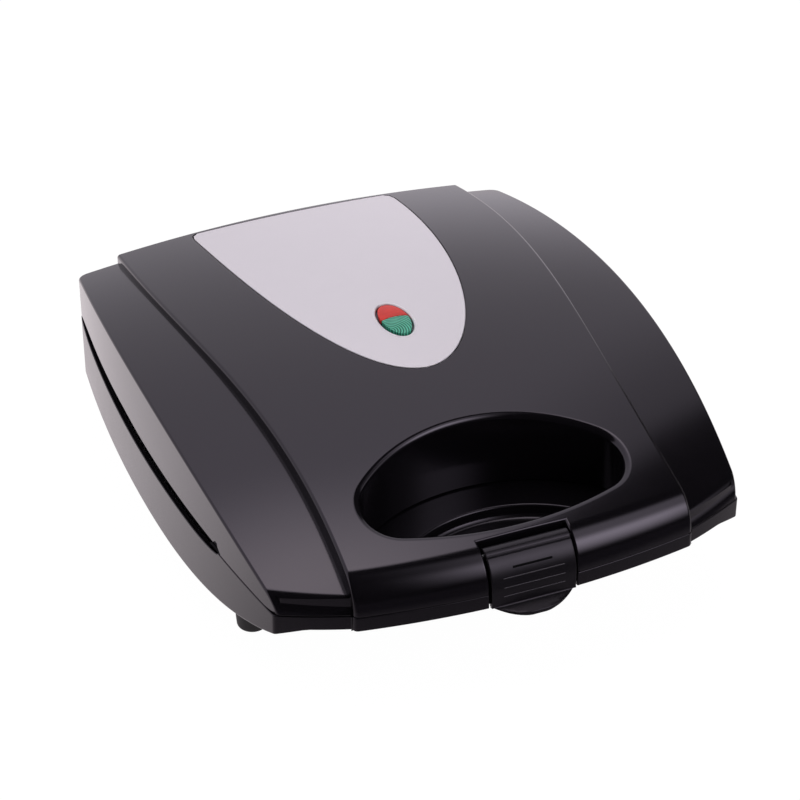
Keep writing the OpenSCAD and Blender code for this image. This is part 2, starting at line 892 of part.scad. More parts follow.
module cord_gland() {
    groove = inlet_r + 2;
    back = rear_reach - gland_sink;
    color("#141416")
    translate([inlet_x, back, inlet_z])
        rotate([-90, 0, 0])
        rotate_extrude($fn = 64)
        polygon([
            [inlet_r, -wall - gland_in], [groove + 1.5, -wall - gland_in],
            [groove + 1.5, -wall - 0.5], [groove, -wall - 0.5], [groove, 0.3],
            [gland_flange_r, 0.3], [gland_flange_r - 1, 3.5], [inlet_r + 1.6, 7],
            [inlet_r, 7]
        ]);
}

gland_sink = pow(inlet_x, 2) / (2 * rear_bow_r);

module hinge_pins() {
    color("#a9abb0")
    for (side = [-1, 1])
        translate([side * hinge_x - pin_len / 2, hinge_y, hinge_z])
            rotate([0, 90, 0])
            cylinder(r = pin_r, h = pin_len, $fn = fine);
}

// ---- lid -------------------------------------------------------------------

module upper_housing() {
    z0 = part_z + gap / 2;
    color(black)
    difference() {
        union() {
            difference() {
                lid_form(0, z0);
                lid_form(wall, z0 - 2);
            }
            intersection() {
                lid_form(wall / 2, z0);
                union() {
                    grip_skirt(z0);
                    clip_bay(z0);
                    upper_bosses();
                    cover_bosses();
                    holder_posts();
                }
            }
            for (side = [-1, 1]) hinge_ear(side * hinge_x, true);
        }
        translate([0, 0, z0 - 2]) linear_extrude(lid_h + 20) grip_outline(0);
        translate([-bay_hw, -front_reach - 5, z0 - 2])
            cube([2 * bay_hw, bay_y + front_reach + 5, lid_h + 10]);
        for (side = [-1, 1])
            translate([side * hinge_x - knuckle_w, hinge_y, hinge_z])
                rotate([0, 90, 0])
                cylinder(r = pin_r + fit, h = 2 * knuckle_w, $fn = fine);
        translate([-bay_hw - wall - 1, clip_y, clip_z])
            rotate([0, 90, 0])
            cylinder(r = clip_pin_r + fit / 2, h = 2 * (bay_hw + wall + 1), $fn = fine);
        side_slot(slot_h / 2 + 0.2, true);
        trim_recess();
        translate([0, lens_y, crest_z - 20])
            linear_extrude(40) polygon(oval(lens_w - 2, lens_len - 2));
    }
}

module grip_skirt(z0) {
    skirt_z = z0 + 0.4;
    translate([0, 0, skirt_z]) linear_extrude(lid_h) grip_outline(wall);
}

module clip_bay(z0) {
    translate([-bay_hw - wall, -front_reach, z0])
        cube([2 * (bay_hw + wall), bay_y + front_reach + wall, lid_h]);
}

module upper_bosses() {
    boss_z = part_z + gap / 2 + stack_h + sheet_t;
    for (p = boss_places)
        translate([p[0], p[1], boss_z])
            difference() {
                cylinder(r = screw_boss_r, h = lid_h, $fn = fine);
                translate([0, 0, -1]) cylinder(r = screw_r + fit, h = 9, $fn = fine);
            }
}

cover_screw_x = grip_w / 2 + 12;
cover_screw_y = grip_front + 26;
cover_boss_r = 4;
cover_screw_r = 1.5;

module cover_bosses() {
    z = part_z + gap / 2 + cover_t + 0.1;
    for (side = [-1, 1])
        translate([side * cover_screw_x, cover_screw_y, z])
            difference() {
                cylinder(r = cover_boss_r, h = lid_h, $fn = fine);
                translate([0, 0, -1]) cylinder(r = cover_screw_r + fit, h = 11, $fn = fine);
            }
}

// Seat of the inlaid plate
module trim_recess() {
    intersection() {
        difference() {
            translate([0, 0, part_z]) linear_extrude(lid_h + 20) polygon(trim_points(0.5));
            lid_deck(trim_t, part_z - 5);
        }
        translate([-trim_w, -body_w, part_z + 20]) cube([2 * trim_w, 2 * body_w, lid_h]);
    }
}

// Closes the underside of the handle around the hand opening
module handle_cover() {
    z0 = part_z + gap / 2;
    margin = wall + 0.3;
    cover_end = deck_end + 0.8;
    color(black)
    difference() {
        intersection() {
            difference() {
                lid_form(margin, z0 - 1);
                translate([-body_w, -front_reach, z0 + cover_t])
                    cube([2 * body_w, 2 * body_w, lid_h]);
            }
            translate([-body_w, -front_reach, z0])
                cube([2 * body_w, front_reach + cover_end, cover_t]);
        }
        translate([0, 0, z0 - 1]) linear_extrude(cover_t + 2) grip_outline(margin);
        translate([-bay_hw - margin, -front_reach - 5, z0 - 1])
            cube([2 * (bay_hw + margin), grip_front + front_reach + 5, cover_t + 2]);
        for (side = [-1, 1])
            translate([side * cover_screw_x, cover_screw_y, z0 - 1]) {
                cylinder(r = cover_screw_r + 0.2, h = cover_t + 2, $fn = fine);
                cylinder(r = 2 * cover_screw_r + 0.2, h = 2.2, $fn = fine);
            }
    }
}

module handle_cover_screws() {
    z0 = part_z + gap / 2;
    color("#8b8d92")
    for (side = [-1, 1])
        translate([side * cover_screw_x, cover_screw_y, z0 + 0.2]) {
            cylinder(r = 2 * cover_screw_r, h = 1, $fn = fine);
            cylinder(r = cover_screw_r, h = 9, $fn = fine);
        }
}

module upper_heating_plate() {
    color(coating) above_joint() hot_plate();
}

module upper_heating_element() {
    color("#6f6a66") above_joint() heating_rod();
}

module upper_element_beads() {
    color("#e8e2d6") above_joint() rod_ends();
}

module upper_element_clips() {
    color(steel) above_joint() rod_straps();
}

module upper_reflector() {
    color(steel) above_joint() reflector();
}

module upper_plate_screws() {
    color("#8b8d92") above_joint() plate_screws();
}

module thermostat() {
    color("#c9b88f") above_joint() disc_switch(-window_x);
}

fuse_r = 2;
fuse_lead = 10;

module thermal_fuse() {
    color("#d9c9a0")
    above_joint()
        translate([window_x - 7, plate_mid + boss_y / 2, tub_z + fuse_r + eps])
        rotate([0, 90, 0]) {
            cylinder(r = fuse_r, h = 14, $fn = 24);
            translate([0, 0, 7 - fuse_lead]) cylinder(r = 0.5, h = 2 * fuse_lead, $fn = 16);
        }
}

holder_hw = lens_w / 2 + 3;
holder_hl = lens_len / 2 + 3;
holder_h = 9;
post_dx = holder_hw + 5;

// Posts under the crest that carry the lamp holder
module holder_posts() {
    for (side = [-1, 1])
        translate([side * post_dx, lens_y, crest_z - holder_h - wall])
            cylinder(r = 3, h = lid_h, $fn = fine);
}

module lamp_holder() {
    t = 1.4;
    top = crest_z - wall - trim_t - 0.3;
    z0 = crest_z - wall - holder_h - t - 0.1;
    color("#2b2b2e") {
        difference() {
            translate([-holder_hw, lens_y - holder_hl, z0])
                cube([2 * holder_hw, 2 * holder_hl, top - z0]);
            translate([-holder_hw + t, lens_y - holder_hl + t, z0 + t])
                cube([2 * (holder_hw - t), 2 * (holder_hl - t), top]);
        }
        difference() {
            translate([-post_dx - 4, lens_y - 4, z0])
                cube([2 * (post_dx + 4), 8, t]);
            translate([-holder_hw + 0.5, lens_y - 5, z0 - 1])
                cube([2 * holder_hw - 1, 10, t + 2]);
        }
        translate([-holder_hw + 0.5, lens_y - 0.6, z0]) cube([2 * holder_hw - 1, 1.2, top - z0]);
    }
}

module neon_lamps() {
    lamp_r = 2.6;
    z = crest_z - wall - holder_h + lamp_r + 0.1;
    color("#e8b48c")
    for (side = [-1, 1])
        translate([-5, lens_y + side * holder_hl / 2, z])
            rotate([0, 90, 0]) {
                cylinder(r = lamp_r, h = 9, $fn = 24);
                translate([0, 0, 9]) sphere(r = lamp_r, $fn = 24);
            }
}

module lens(y0, y1) {
    lens_dome_r = 120;
    intersection() {
        translate([0, lens_y, crest_z + lens_proud - lens_dome_r])
            sphere(r = lens_dome_r, $fn = 256);
        translate([0, lens_y, crest_z - 8])
            linear_extrude(20) polygon(oval(lens_w - 2 - 2 * fit, lens_len - 2 - 2 * fit));
        translate([-lens_w, lens_y + y0, crest_z - trim_t - wall])
            cube([2 * lens_w, y1 - y0, 20]);
    }
}

module lens_red() {
    color("#c8281e") lens(0.05, lens_len);
}

module lens_green() {
    color("#1f7a4a") lens(-lens_len, -0.05);
}

module trim_plate() {
    color("#cfc8d0")
    difference() {
        intersection() {
            lid_deck(0, part_z + 20, 0.2);
            translate([0, 0, part_z]) linear_extrude(lid_h + 20) polygon(trim_points(0));
        }
        lid_deck(trim_t - fit, part_z - 5);
        translate([0, lens_y, part_z])
            linear_extrude(lid_h + 20) polygon(oval(lens_w, lens_len));
    }
}

// One wire from the thermostat and one from the fuse, out above the hinge
module upper_wiring() {
    z = part_z + gap / 2 + stack_h + sheet_t + 3;
    fuse_z = part_z + gap / 2 + tub_z + fuse_r + eps;
    y_sw = plate_mid + boss_y / 2;
    blade_x = -window_x + 4;
    fuse_x = window_x + fuse_lead + wire_r + eps;
    lane = plate_rear - 12;
    exit_x = inlet_x + 9;
    exit_y = plate_rear - 3;
    exit_z = part_z + 14;
    color("#d8d4c8") {
        tube([
            [blade_x, y_sw + 2.5 + eps + wire_r / 2, z - 2],
            [blade_x, y_sw + 9, z],
            [blade_x, lane, z],
            [exit_x + wire_lane, lane, z],
            [exit_x + wire_lane, exit_y, z],
            [exit_x + wire_lane, exit_y + 1, exit_z]
        ], wire_r, 6);
        tube([
            [fuse_x, y_sw, fuse_z],
            [fuse_x, y_sw + 1, z],
            [fuse_x, lane - wire_lane, z],
            [exit_x, lane - wire_lane, z],
            [exit_x, exit_y, z],
            [exit_x, exit_y + 1, exit_z]
        ], wire_r, 6);
    }
}

module clip_pin() {
    color("#a9abb0")
    translate([-bay_hw - wall + 0.2, clip_y, clip_z])
        rotate([0, 90, 0])
        cylinder(r = clip_pin_r, h = 2 * (bay_hw + wall - 0.2), $fn = fine);
}

// ---- clip ------------------------------------------------------------------

// Side view of the clip: a rolled shell from the pivot to the thumb lip
module clip_section() {
    inner = clip_outer_r - clip_t;
    front = roll_y - clip_outer_r;
    back = roll_y - inner;
    polygon(concat(
        arc_points([roll_y, roll_z], clip_outer_r, clip_pivot_angle, 180, 10),
        [[front, clip_end_z + 8], [front - 1.5, clip_end_z + 5],
         [front - thumb_reach, clip_end_z + 2.5], [front - thumb_reach, clip_end_z + 0.8],
         [front - thumb_reach + 1, clip_end_z], [back, clip_end_z]],
        arc_points([roll_y, roll_z], inner, 180, clip_pivot_angle, 10)));
}

module latch_clip() {
    rib_count = 3;
    rib_pitch = 3.2;
    rib_proud = 0.5;
    color("#232326")
    difference() {
        union() {
            intersection() {
                translate([-clip_w / 2, 0, 0])
                    rotate([90, 0, 90])
                    linear_extrude(clip_w)
                    clip_section();
                thumb_trim();
            }
            translate([-clip_w / 2, clip_y, clip_z])
                rotate([0, 90, 0])
                cylinder(r = clip_barrel_r, h = clip_w, $fn = fine);
            for (i = [0 : rib_count - 1])
                translate([-clip_w / 2 + 4, roll_y - clip_outer_r - rib_proud,
                           part_z - 4 + rib_pitch * i])
                    cube([clip_w - 8, 2 * rib_proud, 1.2]);
        }
        translate([-clip_w, clip_y, clip_z])
            rotate([0, 90, 0])
            cylinder(r = clip_pin_r + fit, h = 2 * clip_w, $fn = fine);
    }
}

// Rounds the thumb lip in plan
module thumb_trim() {
    thumb_r = 34;
    thumb_h = 8;
    translate([0, roll_y - clip_outer_r - thumb_reach + thumb_r, clip_end_z - 1])
        cylinder(r = thumb_r, h = thumb_h + 1, $fn = 96);
    translate([-clip_w, -front_reach - 20, clip_end_z + thumb_h - eps])
        cube([2 * clip_w, 60, lid_h]);
}

lower_housing();
lower_heating_plate();
lower_heating_element();
lower_element_beads();
lower_element_clips();
lower_reflector();
lower_plate_screws();
lower_cutout();
terminal_block();
lower_wiring();
cord_gland();
hinge_pins();
front_feet();
rear_feet();
earth_tag();
upper_housing();
handle_cover();
handle_cover_screws();
upper_heating_plate();
upper_heating_element();
upper_element_beads();
upper_element_clips();
upper_reflector();
upper_plate_screws();
thermostat();
thermal_fuse();
upper_wiring();
trim_plate();
lens_red();
lens_green();
lamp_holder();
neon_lamps();
clip_pin();
latch_clip();
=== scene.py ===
import math

import bpy
import numpy as np
from bpy.props import FloatProperty, FloatVectorProperty, IntProperty, PointerProperty
from mathutils import Matrix, Vector
from mathutils.geometry import delaunay_2d_cdt


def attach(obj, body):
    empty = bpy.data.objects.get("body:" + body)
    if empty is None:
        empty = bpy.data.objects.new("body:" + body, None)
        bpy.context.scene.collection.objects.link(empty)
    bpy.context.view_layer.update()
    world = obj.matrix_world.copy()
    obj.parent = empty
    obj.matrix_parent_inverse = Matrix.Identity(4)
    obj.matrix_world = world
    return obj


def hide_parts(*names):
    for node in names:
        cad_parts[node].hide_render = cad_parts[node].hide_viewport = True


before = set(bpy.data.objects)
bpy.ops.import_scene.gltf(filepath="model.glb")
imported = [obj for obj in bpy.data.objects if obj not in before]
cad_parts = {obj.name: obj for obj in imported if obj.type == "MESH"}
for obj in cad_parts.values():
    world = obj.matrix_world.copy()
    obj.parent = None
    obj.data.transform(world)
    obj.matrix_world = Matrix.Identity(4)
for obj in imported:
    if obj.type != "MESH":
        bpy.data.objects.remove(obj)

bl_info = {
    "name": "Sandwich Toaster",
    "version": (1, 0, 0),
    "blender": (4, 5, 0),
    "location": "View3D > Sidebar > Toaster",
    "description": "Builds the visible pieces of a four-slice sandwich toaster round its CAD frame",
    "category": "Object",
}

# ---- sizes of the CAD model, in millimetres --------------------------------

MM = 0.001
BODY_HW = 144.0
WIDEST_Y = 15.0
FRONT = 177.5
REAR = 174.5
FOOT_H = 12.5
BASE_H = 39.5
PART_Z = FOOT_H + BASE_H
CREST_Z = PART_Z + 53.8
CROWN_Z = CREST_Z - 1250.0
WALL = 2.6
SEAM = 0.15
LID_Z = PART_Z + SEAM
BASE_Z = PART_Z - SEAM
SIDE_R = 1050.0
HANDLE_BOW_R = 497.0
SHOULDER_BOW_R = 285.0
REAR_BOW_R = 1640.0
HANDLE_CY = HANDLE_BOW_R - FRONT
SHOULDER_CY = SHOULDER_BOW_R - FRONT - 4.5
REAR_CY = REAR - REAR_BOW_R
LIP_H = 8.5
LIP_Y = 20.5 - FRONT
SWEEP_POWER = 2.8
GRIP_FRONT = -FRONT + 23
GRIP_REAR = GRIP_FRONT + 68.5
GRIP_HW = 72.5
GRIP_BOW_R = 191.0
GRIP_END_R = 20.0
DECK_END = GRIP_REAR + WALL + 3.5
WELL_R = 72.0
WELL_APEX = GRIP_REAR - 21
WELL_FRONT = GRIP_FRONT + 3
WELL_DEPTH = 7.0
SLOT_FRONT = GRIP_REAR - 3.0
SLOT_REAR = REAR - 12
# side slot: its depth in front and at the rear, and how far back it reaches full depth,
# above the joint (in the lid) and below it (in the base)
SLOT_RISE = (7.5, 2.5, 2.4)
SLOT_SINK = (4.5, 5.5, 40.0)
SLOT_FADE = 30.0
PLATE_FRONT = DECK_END + 1.4
PLATE_REAR = REAR - 14.5
PLATE_MID = (PLATE_FRONT + PLATE_REAR) / 2
PLATE_HD = (PLATE_REAR - PLATE_FRONT) / 2
PLATE_INSET = WALL + 1.5
POCKET_D = 12.0
PLATE_T = 3.0
LAND_W = 14.0
RIDGE_W = 10.0
SCREW_R = 2.0
KNUCKLE_R = 5.0
HINGE_X = 70.0
KNUCKLE_W = 16.0
EAR_W = 7.0
EAR_GAP = 0.3
EAR_EDGE = 0.6
HINGE_Y = REAR + KNUCKLE_R + 0.5
HINGE_Z = PART_Z - 2
HANDLE_ROLL = 22.0
CLIP_W = 47.0
CLIP_T = 3.4
CLIP_R = HANDLE_ROLL + 0.4
CLIP_END = PART_Z - 13
BARREL_R = 4.5
PIVOT = math.radians(124)
PIVOT_REACH = HANDLE_ROLL - BARREL_R + 0.6
BAY_HW = CLIP_W / 2 + 1
BAY_BACK = -160.62
CATCH_Y = -FRONT + CLIP_T + 0.6
FIRST_RIB = 7.0
TRIM_HW = 63.0
TRIM_LEN = 200.0
TRIM_T = 1.2
TRIM_PROUD = 0.2
TRIM_GAP = 0.5
TRIM_SEAT = TRIM_T + 0.3
TRIM_SHOULDER = REAR - 14.5
TRIM_BACK = REAR - 6
LENS_Y = TRIM_SHOULDER - TRIM_LEN + 47
LENS_HW = 9.0
LENS_HL = 17.0
LENS_PITCH = 1.5
# centre of the green half's arched ribs, from the middle of the window
LENS_RINGS = (-7.0, -11.0)
FOOT_R = 10.0
FOOT_PLACES = [(-121, -88), (121, -88), (-112, REAR - 30), (112, REAR - 30)]


def arc_radius(reach, drop):
    """Radius of an arc that starts level and falls by drop over the reach."""
    return (reach * reach + drop * drop) / (2 * drop)


def unit(v):
    """The vectors, each scaled to length 1."""
    return v / np.maximum(np.linalg.norm(v, axis=-1, keepdims=True), 1e-12)


def level(xy, z=0.0):
    """Plan points at one height, or plan directions as directions in space."""
    return np.column_stack([xy, np.full(len(xy), z)])


def facing(x, y, z, points):
    """One direction, given to every one of the points."""
    return np.tile([float(x), float(y), float(z)], (len(points), 1))


def plane(z, up):
    """A level surface that faces up (1) or down (-1)."""
    return lambda xy: (level(xy, z), facing(0, 0, up, xy))


def around(angles):
    """Unit vectors at angles in radians."""
    return np.column_stack([np.cos(angles), np.sin(angles)])


def on_circle(centre, radius, angles):
    """Points of a circle at angles; the radius may change from one to the next."""
    return centre + np.reshape(radius, (-1, 1)) * around(angles)


def slerp(a, b, t):
    """Directions turned from a towards b by the share t of the angle between them."""
    angle = np.arccos(np.clip(np.sum(a * b, axis=1, keepdims=True), -1, 1))
    s = np.maximum(np.sin(angle), 1e-9)
    mixed = (np.sin((1 - t) * angle) * a + np.sin(t * angle) * b) / s
    return unit(np.where(angle < 1e-5, a, mixed))


class Crowned:
    """Top surface: two arcs along Y, swept round the crown axis below the table."""

    def __init__(self, apex_y, apex_z, front_r, rear_r):
        self.apex_y = apex_y
        self.apex_z = apex_z
        self.front_r = front_r
        self.rear_r = rear_r

    def at(self, xy, sunk=0.0):
        """Heights and normals at plan points, for the surface sunk by a distance."""
        x, y = xy[:, 0], xy[:, 1]
        r = np.where(y < self.apex_y, self.front_r, self.rear_r)
        root = np.sqrt((r - sunk) ** 2 - (y - self.apex_y) ** 2)
        reach = self.apex_z - r + root - CROWN_Z
        rise = np.sqrt(reach ** 2 - x ** 2)
        normal = np.column_stack([x / reach, (y - self.apex_y) / root, rise / reach])
        return np.column_stack([xy, CROWN_Z + rise]), unit(normal)


DECK = Crowned(WIDEST_Y, CREST_Z,
               arc_radius(FRONT + WIDEST_Y, 37.725), arc_radius(REAR - WIDEST_Y, 17.89))
SHOULDER = Crowned(WIDEST_Y + 15, CREST_Z - 5,
                   arc_radius(FRONT - 12.1 + WIDEST_Y + 15, 40.2),
                   arc_radius(REAR - WIDEST_Y - 15, 18.62))
# centre (y, z) of the handle's rounded front, in the middle of the toaster
ROLL_CENTRE = np.array([HANDLE_ROLL - FRONT, CREST_Z - DECK.front_r + math.sqrt(
    (DECK.front_r - HANDLE_ROLL) ** 2 - (HANDLE_ROLL - FRONT - WIDEST_Y) ** 2)])


# ---- plan curves -----------------------------------------------------------

def deck_hw(y):
    """Half width of the raised middle at y."""
    return 101.5 + 8 * np.sin(np.radians(0.75 * y))


def side_hw(y):
    """Half width of the body at y."""
    return BODY_HW - SIDE_R + np.sqrt(SIDE_R ** 2 - (y - WIDEST_Y) ** 2)


def rear_y(x):
    """Y of the bowed rear wall at x."""
    return REAR_CY + np.sqrt(REAR_BOW_R ** 2 - x ** 2)


def handle_y(x):
    """Y of the handle's bowed front at x."""
    return HANDLE_CY - np.sqrt(HANDLE_BOW_R ** 2 - x ** 2)


def shoulder_y(x):
    """Y of the bowed front beside the handle at x."""
    return SHOULDER_CY - np.sqrt(SHOULDER_BOW_R ** 2 - x ** 2)


def under_z(y):
    """Height of the underside at y: it sweeps up to the lip in front."""
    t = np.clip((WIDEST_Y - y) / (WIDEST_Y - LIP_Y), 0, 1)
    return FOOT_H + (BASE_H - LIP_H) * t ** SWEEP_POWER


def spaced(points, step):
    """The polyline with more points, none further apart than step."""
    out = [points[:1]]
    for a, b in zip(points[:-1], points[1:]):
        n = max(1, math.ceil(np.linalg.norm(b - a) / step))
        out.append(a + (b - a) * (np.arange(1, n + 1) / n)[:, None])
    return np.vstack(out)


def plan_normals(points, closed=True):
    """Right-hand normals: outwards where the outline runs anticlockwise."""
    if closed:
        run = np.roll(points, -1, 0) - np.roll(points, 1, 0)
    else:
        run = np.gradient(points, axis=0)
    return unit(np.column_stack([run[:, 1], -run[:, 0]]))


def rounded(corners, grow=0.0, n=10, step=4.0):
    """Closed outline through (x, y, radius) corners, and its outward normals."""
    points, normals = [], []
    for i, (x, y, r) in enumerate(corners):
        p = np.array([x, y], float)
        a = unit(np.array(corners[i - 1][:2], float) - p)
        b = unit(np.array(corners[(i + 1) % len(corners)][:2], float) - p)
        half = math.acos(np.clip(a @ b, -1, 1)) / 2
        centre = p + unit(a + b) * r / math.sin(half)
        h0 = math.atan2(*(p + a * r / math.tan(half) - centre)[::-1])
        h1 = math.atan2(*(p + b * r / math.tan(half) - centre)[::-1])
        sweep = (h1 - h0 + math.pi) % (2 * math.pi) - math.pi
        d = around(h0 + sweep * np.linspace(0, 1, n + 1))
        points.append(centre + (r + grow) * d)
        normals.append(d)
    points, normals = np.vstack(points), np.vstack(normals)
    out_p, out_n = [], []
    for i in range(len(points)):
        j = (i + 1) % len(points)
        k = max(1, math.ceil(np.linalg.norm(points[j] - points[i]) / step))
        t = (np.arange(k) / k)[:, None]
        out_p.append(points[i] * (1 - t) + points[j] * t)
        out_n.append(unit(normals[i] * (1 - t) + normals[j] * t))
    return np.vstack(out_p), np.vstack(out_n)


def joined(runs, radii, n=6):
    """Closed outline of plan curves: each meets the next in an arc of the given radius."""
    kept = [run.copy() for run in runs]
    arcs = []
    for i, r in enumerate(radii):
        j = (i + 1) % len(runs)
        p = runs[i][-1]
        a = unit(runs[i][-2] - p)
        b = unit(runs[j][1] - runs[j][0])
        half = math.acos(np.clip(a @ b, -1, 1)) / 2
        cut = r / math.tan(half)
        centre = p + unit(a + b) * r / math.sin(half)
        t0, t1 = p + a * cut - centre, p + b * cut - centre
        h0 = math.atan2(t0[1], t0[0])
        sweep = (math.atan2(t1[1], t1[0]) - h0 + math.pi) % (2 * math.pi) - math.pi
        arcs.append(centre + r * around(h0 + sweep * np.linspace(0, 1, n + 1)))
        kept[i] = kept[i][np.linalg.norm(kept[i] - p, axis=1) > cut * 1.02]
        kept[j] = kept[j][np.linalg.norm(kept[j] - p, axis=1) > cut * 1.02]
    return np.vstack([part for pair in zip(kept, arcs) for part in pair])


def inside(outline, points):
    """Which points lie within a closed outline."""
    x, y = points[:, 0][:, None], points[:, 1][:, None]
    x0, y0 = outline[:, 0][None], outline[:, 1][None]
    x1, y1 = np.roll(outline[:, 0], -1)[None], np.roll(outline[:, 1], -1)[None]
    with np.errstate(divide="ignore", invalid="ignore"):
        crosses = ((y0 > y) != (y1 > y)) & (x < (x1 - x0) * (y - y0) / (y1 - y0) + x0)
    return crosses.sum(1) % 2 == 1


def filled(outline, holes=(), step=6.0):
    """Plan triangles over an outline with holes, with spare points every step."""
    loops = [outline, *holes]
    lo, hi = outline.min(0), outline.max(0)
    gx, gy = np.meshgrid(np.arange(lo[0], hi[0], step), np.arange(lo[1], hi[1], step))
    grid = np.column_stack([gx.ravel(), gy.ravel()])
    grid = grid[inside(outline, grid)]
    for hole in holes:
        grid = grid[~inside(hole, grid)]
    rim = np.vstack(loops)
    far = np.array([np.min(np.sum((rim - g) ** 2, axis=1)) > (step * 0.45) ** 2 for g in grid])
    grid = grid[far] if len(grid) else grid
    edges, base = [], 0
    for loop in loops:
        edges += [(base + i, base + (i + 1) % len(loop)) for i in range(len(loop))]
        base += len(loop)
    verts = [Vector(p) for p in np.vstack([rim, grid])]
    made = delaunay_2d_cdt(verts, edges, [], 0, 1e-6)
    xy = np.array([tuple(v) for v in made[0]])
    tris = np.array([f for f in made[2] if len(f) == 3])
    centre = xy[tris].mean(1)
    keep = inside(outline, centre)
    for hole in holes:
        keep &= ~inside(hole, centre)
    return xy, tris[keep]


# ---- skins: smooth patches with exact normals ------------------------------

class Skin:
    """Gathers patches and welds them into one mesh with their own normals."""

    def __init__(self):
        self.points = []
        self.normals = []
        self.faces = []
        self.count = 0

    def _add(self, points, normals):
        self.points.append(np.asarray(points, float))
        self.normals.append(np.asarray(normals, float))
        start = self.count
        self.count += len(points)
        return start

    def rows(self, rows, closed=False):
        """Quads between neighbouring rows of (points, normals)."""
        starts = [self._add(p, n) for p, n in rows]
        m = len(rows[0][0])
        i = np.arange(m if closed else m - 1)
        j = (i + 1) % m
        for a, b in zip(starts[:-1], starts[1:]):
            self.faces.append(np.column_stack([a + i, a + j, b + j, b + i]))

    def cover(self, surface, outline, holes=(), step=6.0):
        """Triangles over an outline; surface gives the points and normals of plan points."""
        xy, tris = filled(outline, holes, step)
        tris = tris + self._add(*surface(xy))
        self.faces.append(np.column_stack([tris, tris[:, -1]]))

    def both_sides(self, other):
        """Adds another skin's patches and their mirror image in X."""
        for flip in (np.array([1, 1, 1]), np.array([-1, 1, 1])):
            start = self._add(np.vstack(other.points) * flip, np.vstack(other.normals) * flip)
            self.faces += [f + start for f in other.faces]

    def build(self, name, material):
        """Welds the patches, turns every face outwards and leaves out empty ones."""
        points, normals = np.vstack(self.points), unit(np.vstack(self.normals))
        faces = np.vstack(self.faces)
        place, index = np.unique(np.round(points, 3), axis=0, return_inverse=True)
        index = index.reshape(-1)
        welded = index[faces]
        p = place[welded]
        area = np.cross(p[:, 2] - p[:, 0], p[:, 3] - p[:, 1])
        area += np.where((welded[:, 2] == welded[:, 3])[:, None],
                         np.cross(p[:, 1] - p[:, 0], p[:, 2] - p[:, 0]) - area, 0)
        turned_in = np.sum(area * normals[faces].mean(1), axis=1) < 0
        faces[turned_in] = faces[turned_in][:, ::-1]
        welded = index[faces]
        keep = np.linalg.norm(area, axis=1) > 1e-5
        rings, corners, seen = [], [], set()
        for w, f in zip(welded[keep], faces[keep]):
            ring = [(a, c) for i, (a, c) in enumerate(zip(w, f)) if a != w[i - 1]]
            key = tuple(sorted(a for a, _ in ring))
            if len(ring) < 3 or len(set(key)) < len(ring) or key in seen:
                continue
            seen.add(key)
            rings.append([a for a, _ in ring])
            corners += [c for _, c in ring]
        used, order = np.unique(np.concatenate(rings), return_inverse=True)
        ends = np.cumsum([len(ring) for ring in rings])[:-1]
        mesh = bpy.data.meshes.new(name)
        mesh.from_pydata((place[used] * MM).tolist(), [],
                         [ring.tolist() for ring in np.split(order.reshape(-1), ends)])
        mesh.materials.append(material)
        smooth(mesh)
        mesh.normals_split_custom_set(normals[corners].tolist())
        return shown(name, mesh)


def smooth(mesh):
    """The mesh with every face shaded smooth."""
    mesh.polygons.foreach_set("use_smooth", [True] * len(mesh.polygons))
    mesh.update()
    return mesh


def shown(name, mesh):
    """An object in the scene that carries the mesh."""
    mesh.name = name
    made = bpy.data.objects.new(name, mesh)
    bpy.context.scene.collection.objects.link(made)
    return made


def edge_arc(points, normals, towards, r, n=4):
    """Rows of a rounded edge that turns from the normals towards another direction."""
    r = np.broadcast_to(np.asarray(r, float).reshape(-1, 1), (len(points), 1))
    centre = points - r * normals
    rows = []
    for t in np.linspace(0, 1, n + 1):
        d = slerp(normals, towards, t)
        rows.append((centre + r * d, d))
    return rows


def with_z(points, z):
    """The points moved to a height, or each to its own."""
    out = points.copy()
    out[:, 2] = z
    return out


def hem(skin, points, outward, edge, closed=False, up=False, thick=WALL, lift=9.0):
    """Rounded lower (or upper) edge of a wall, its flat and the wall's inner face."""
    sense = 1.0 if up else -1.0
    axis = facing(0, 0, sense, points)
    skin.rows(edge_arc(points, outward, axis, edge, 3), closed)
    end = points - edge * outward + edge * axis
    inner = end - (thick - edge) * outward
    skin.rows([(end, axis), (inner, axis)], closed)
    skin.rows([(inner, -outward), (inner - lift * axis, -outward)], closed)


def drop(skin, points, outward, z, closed=False):
    """Wall straight down from the points to the height z; returns its foot."""
    foot = with_z(points, np.minimum(points[:, 2], z))
    skin.rows([(points, outward), (foot, outward)], closed)
    return foot


# ---- shader maths ----------------------------------------------------------

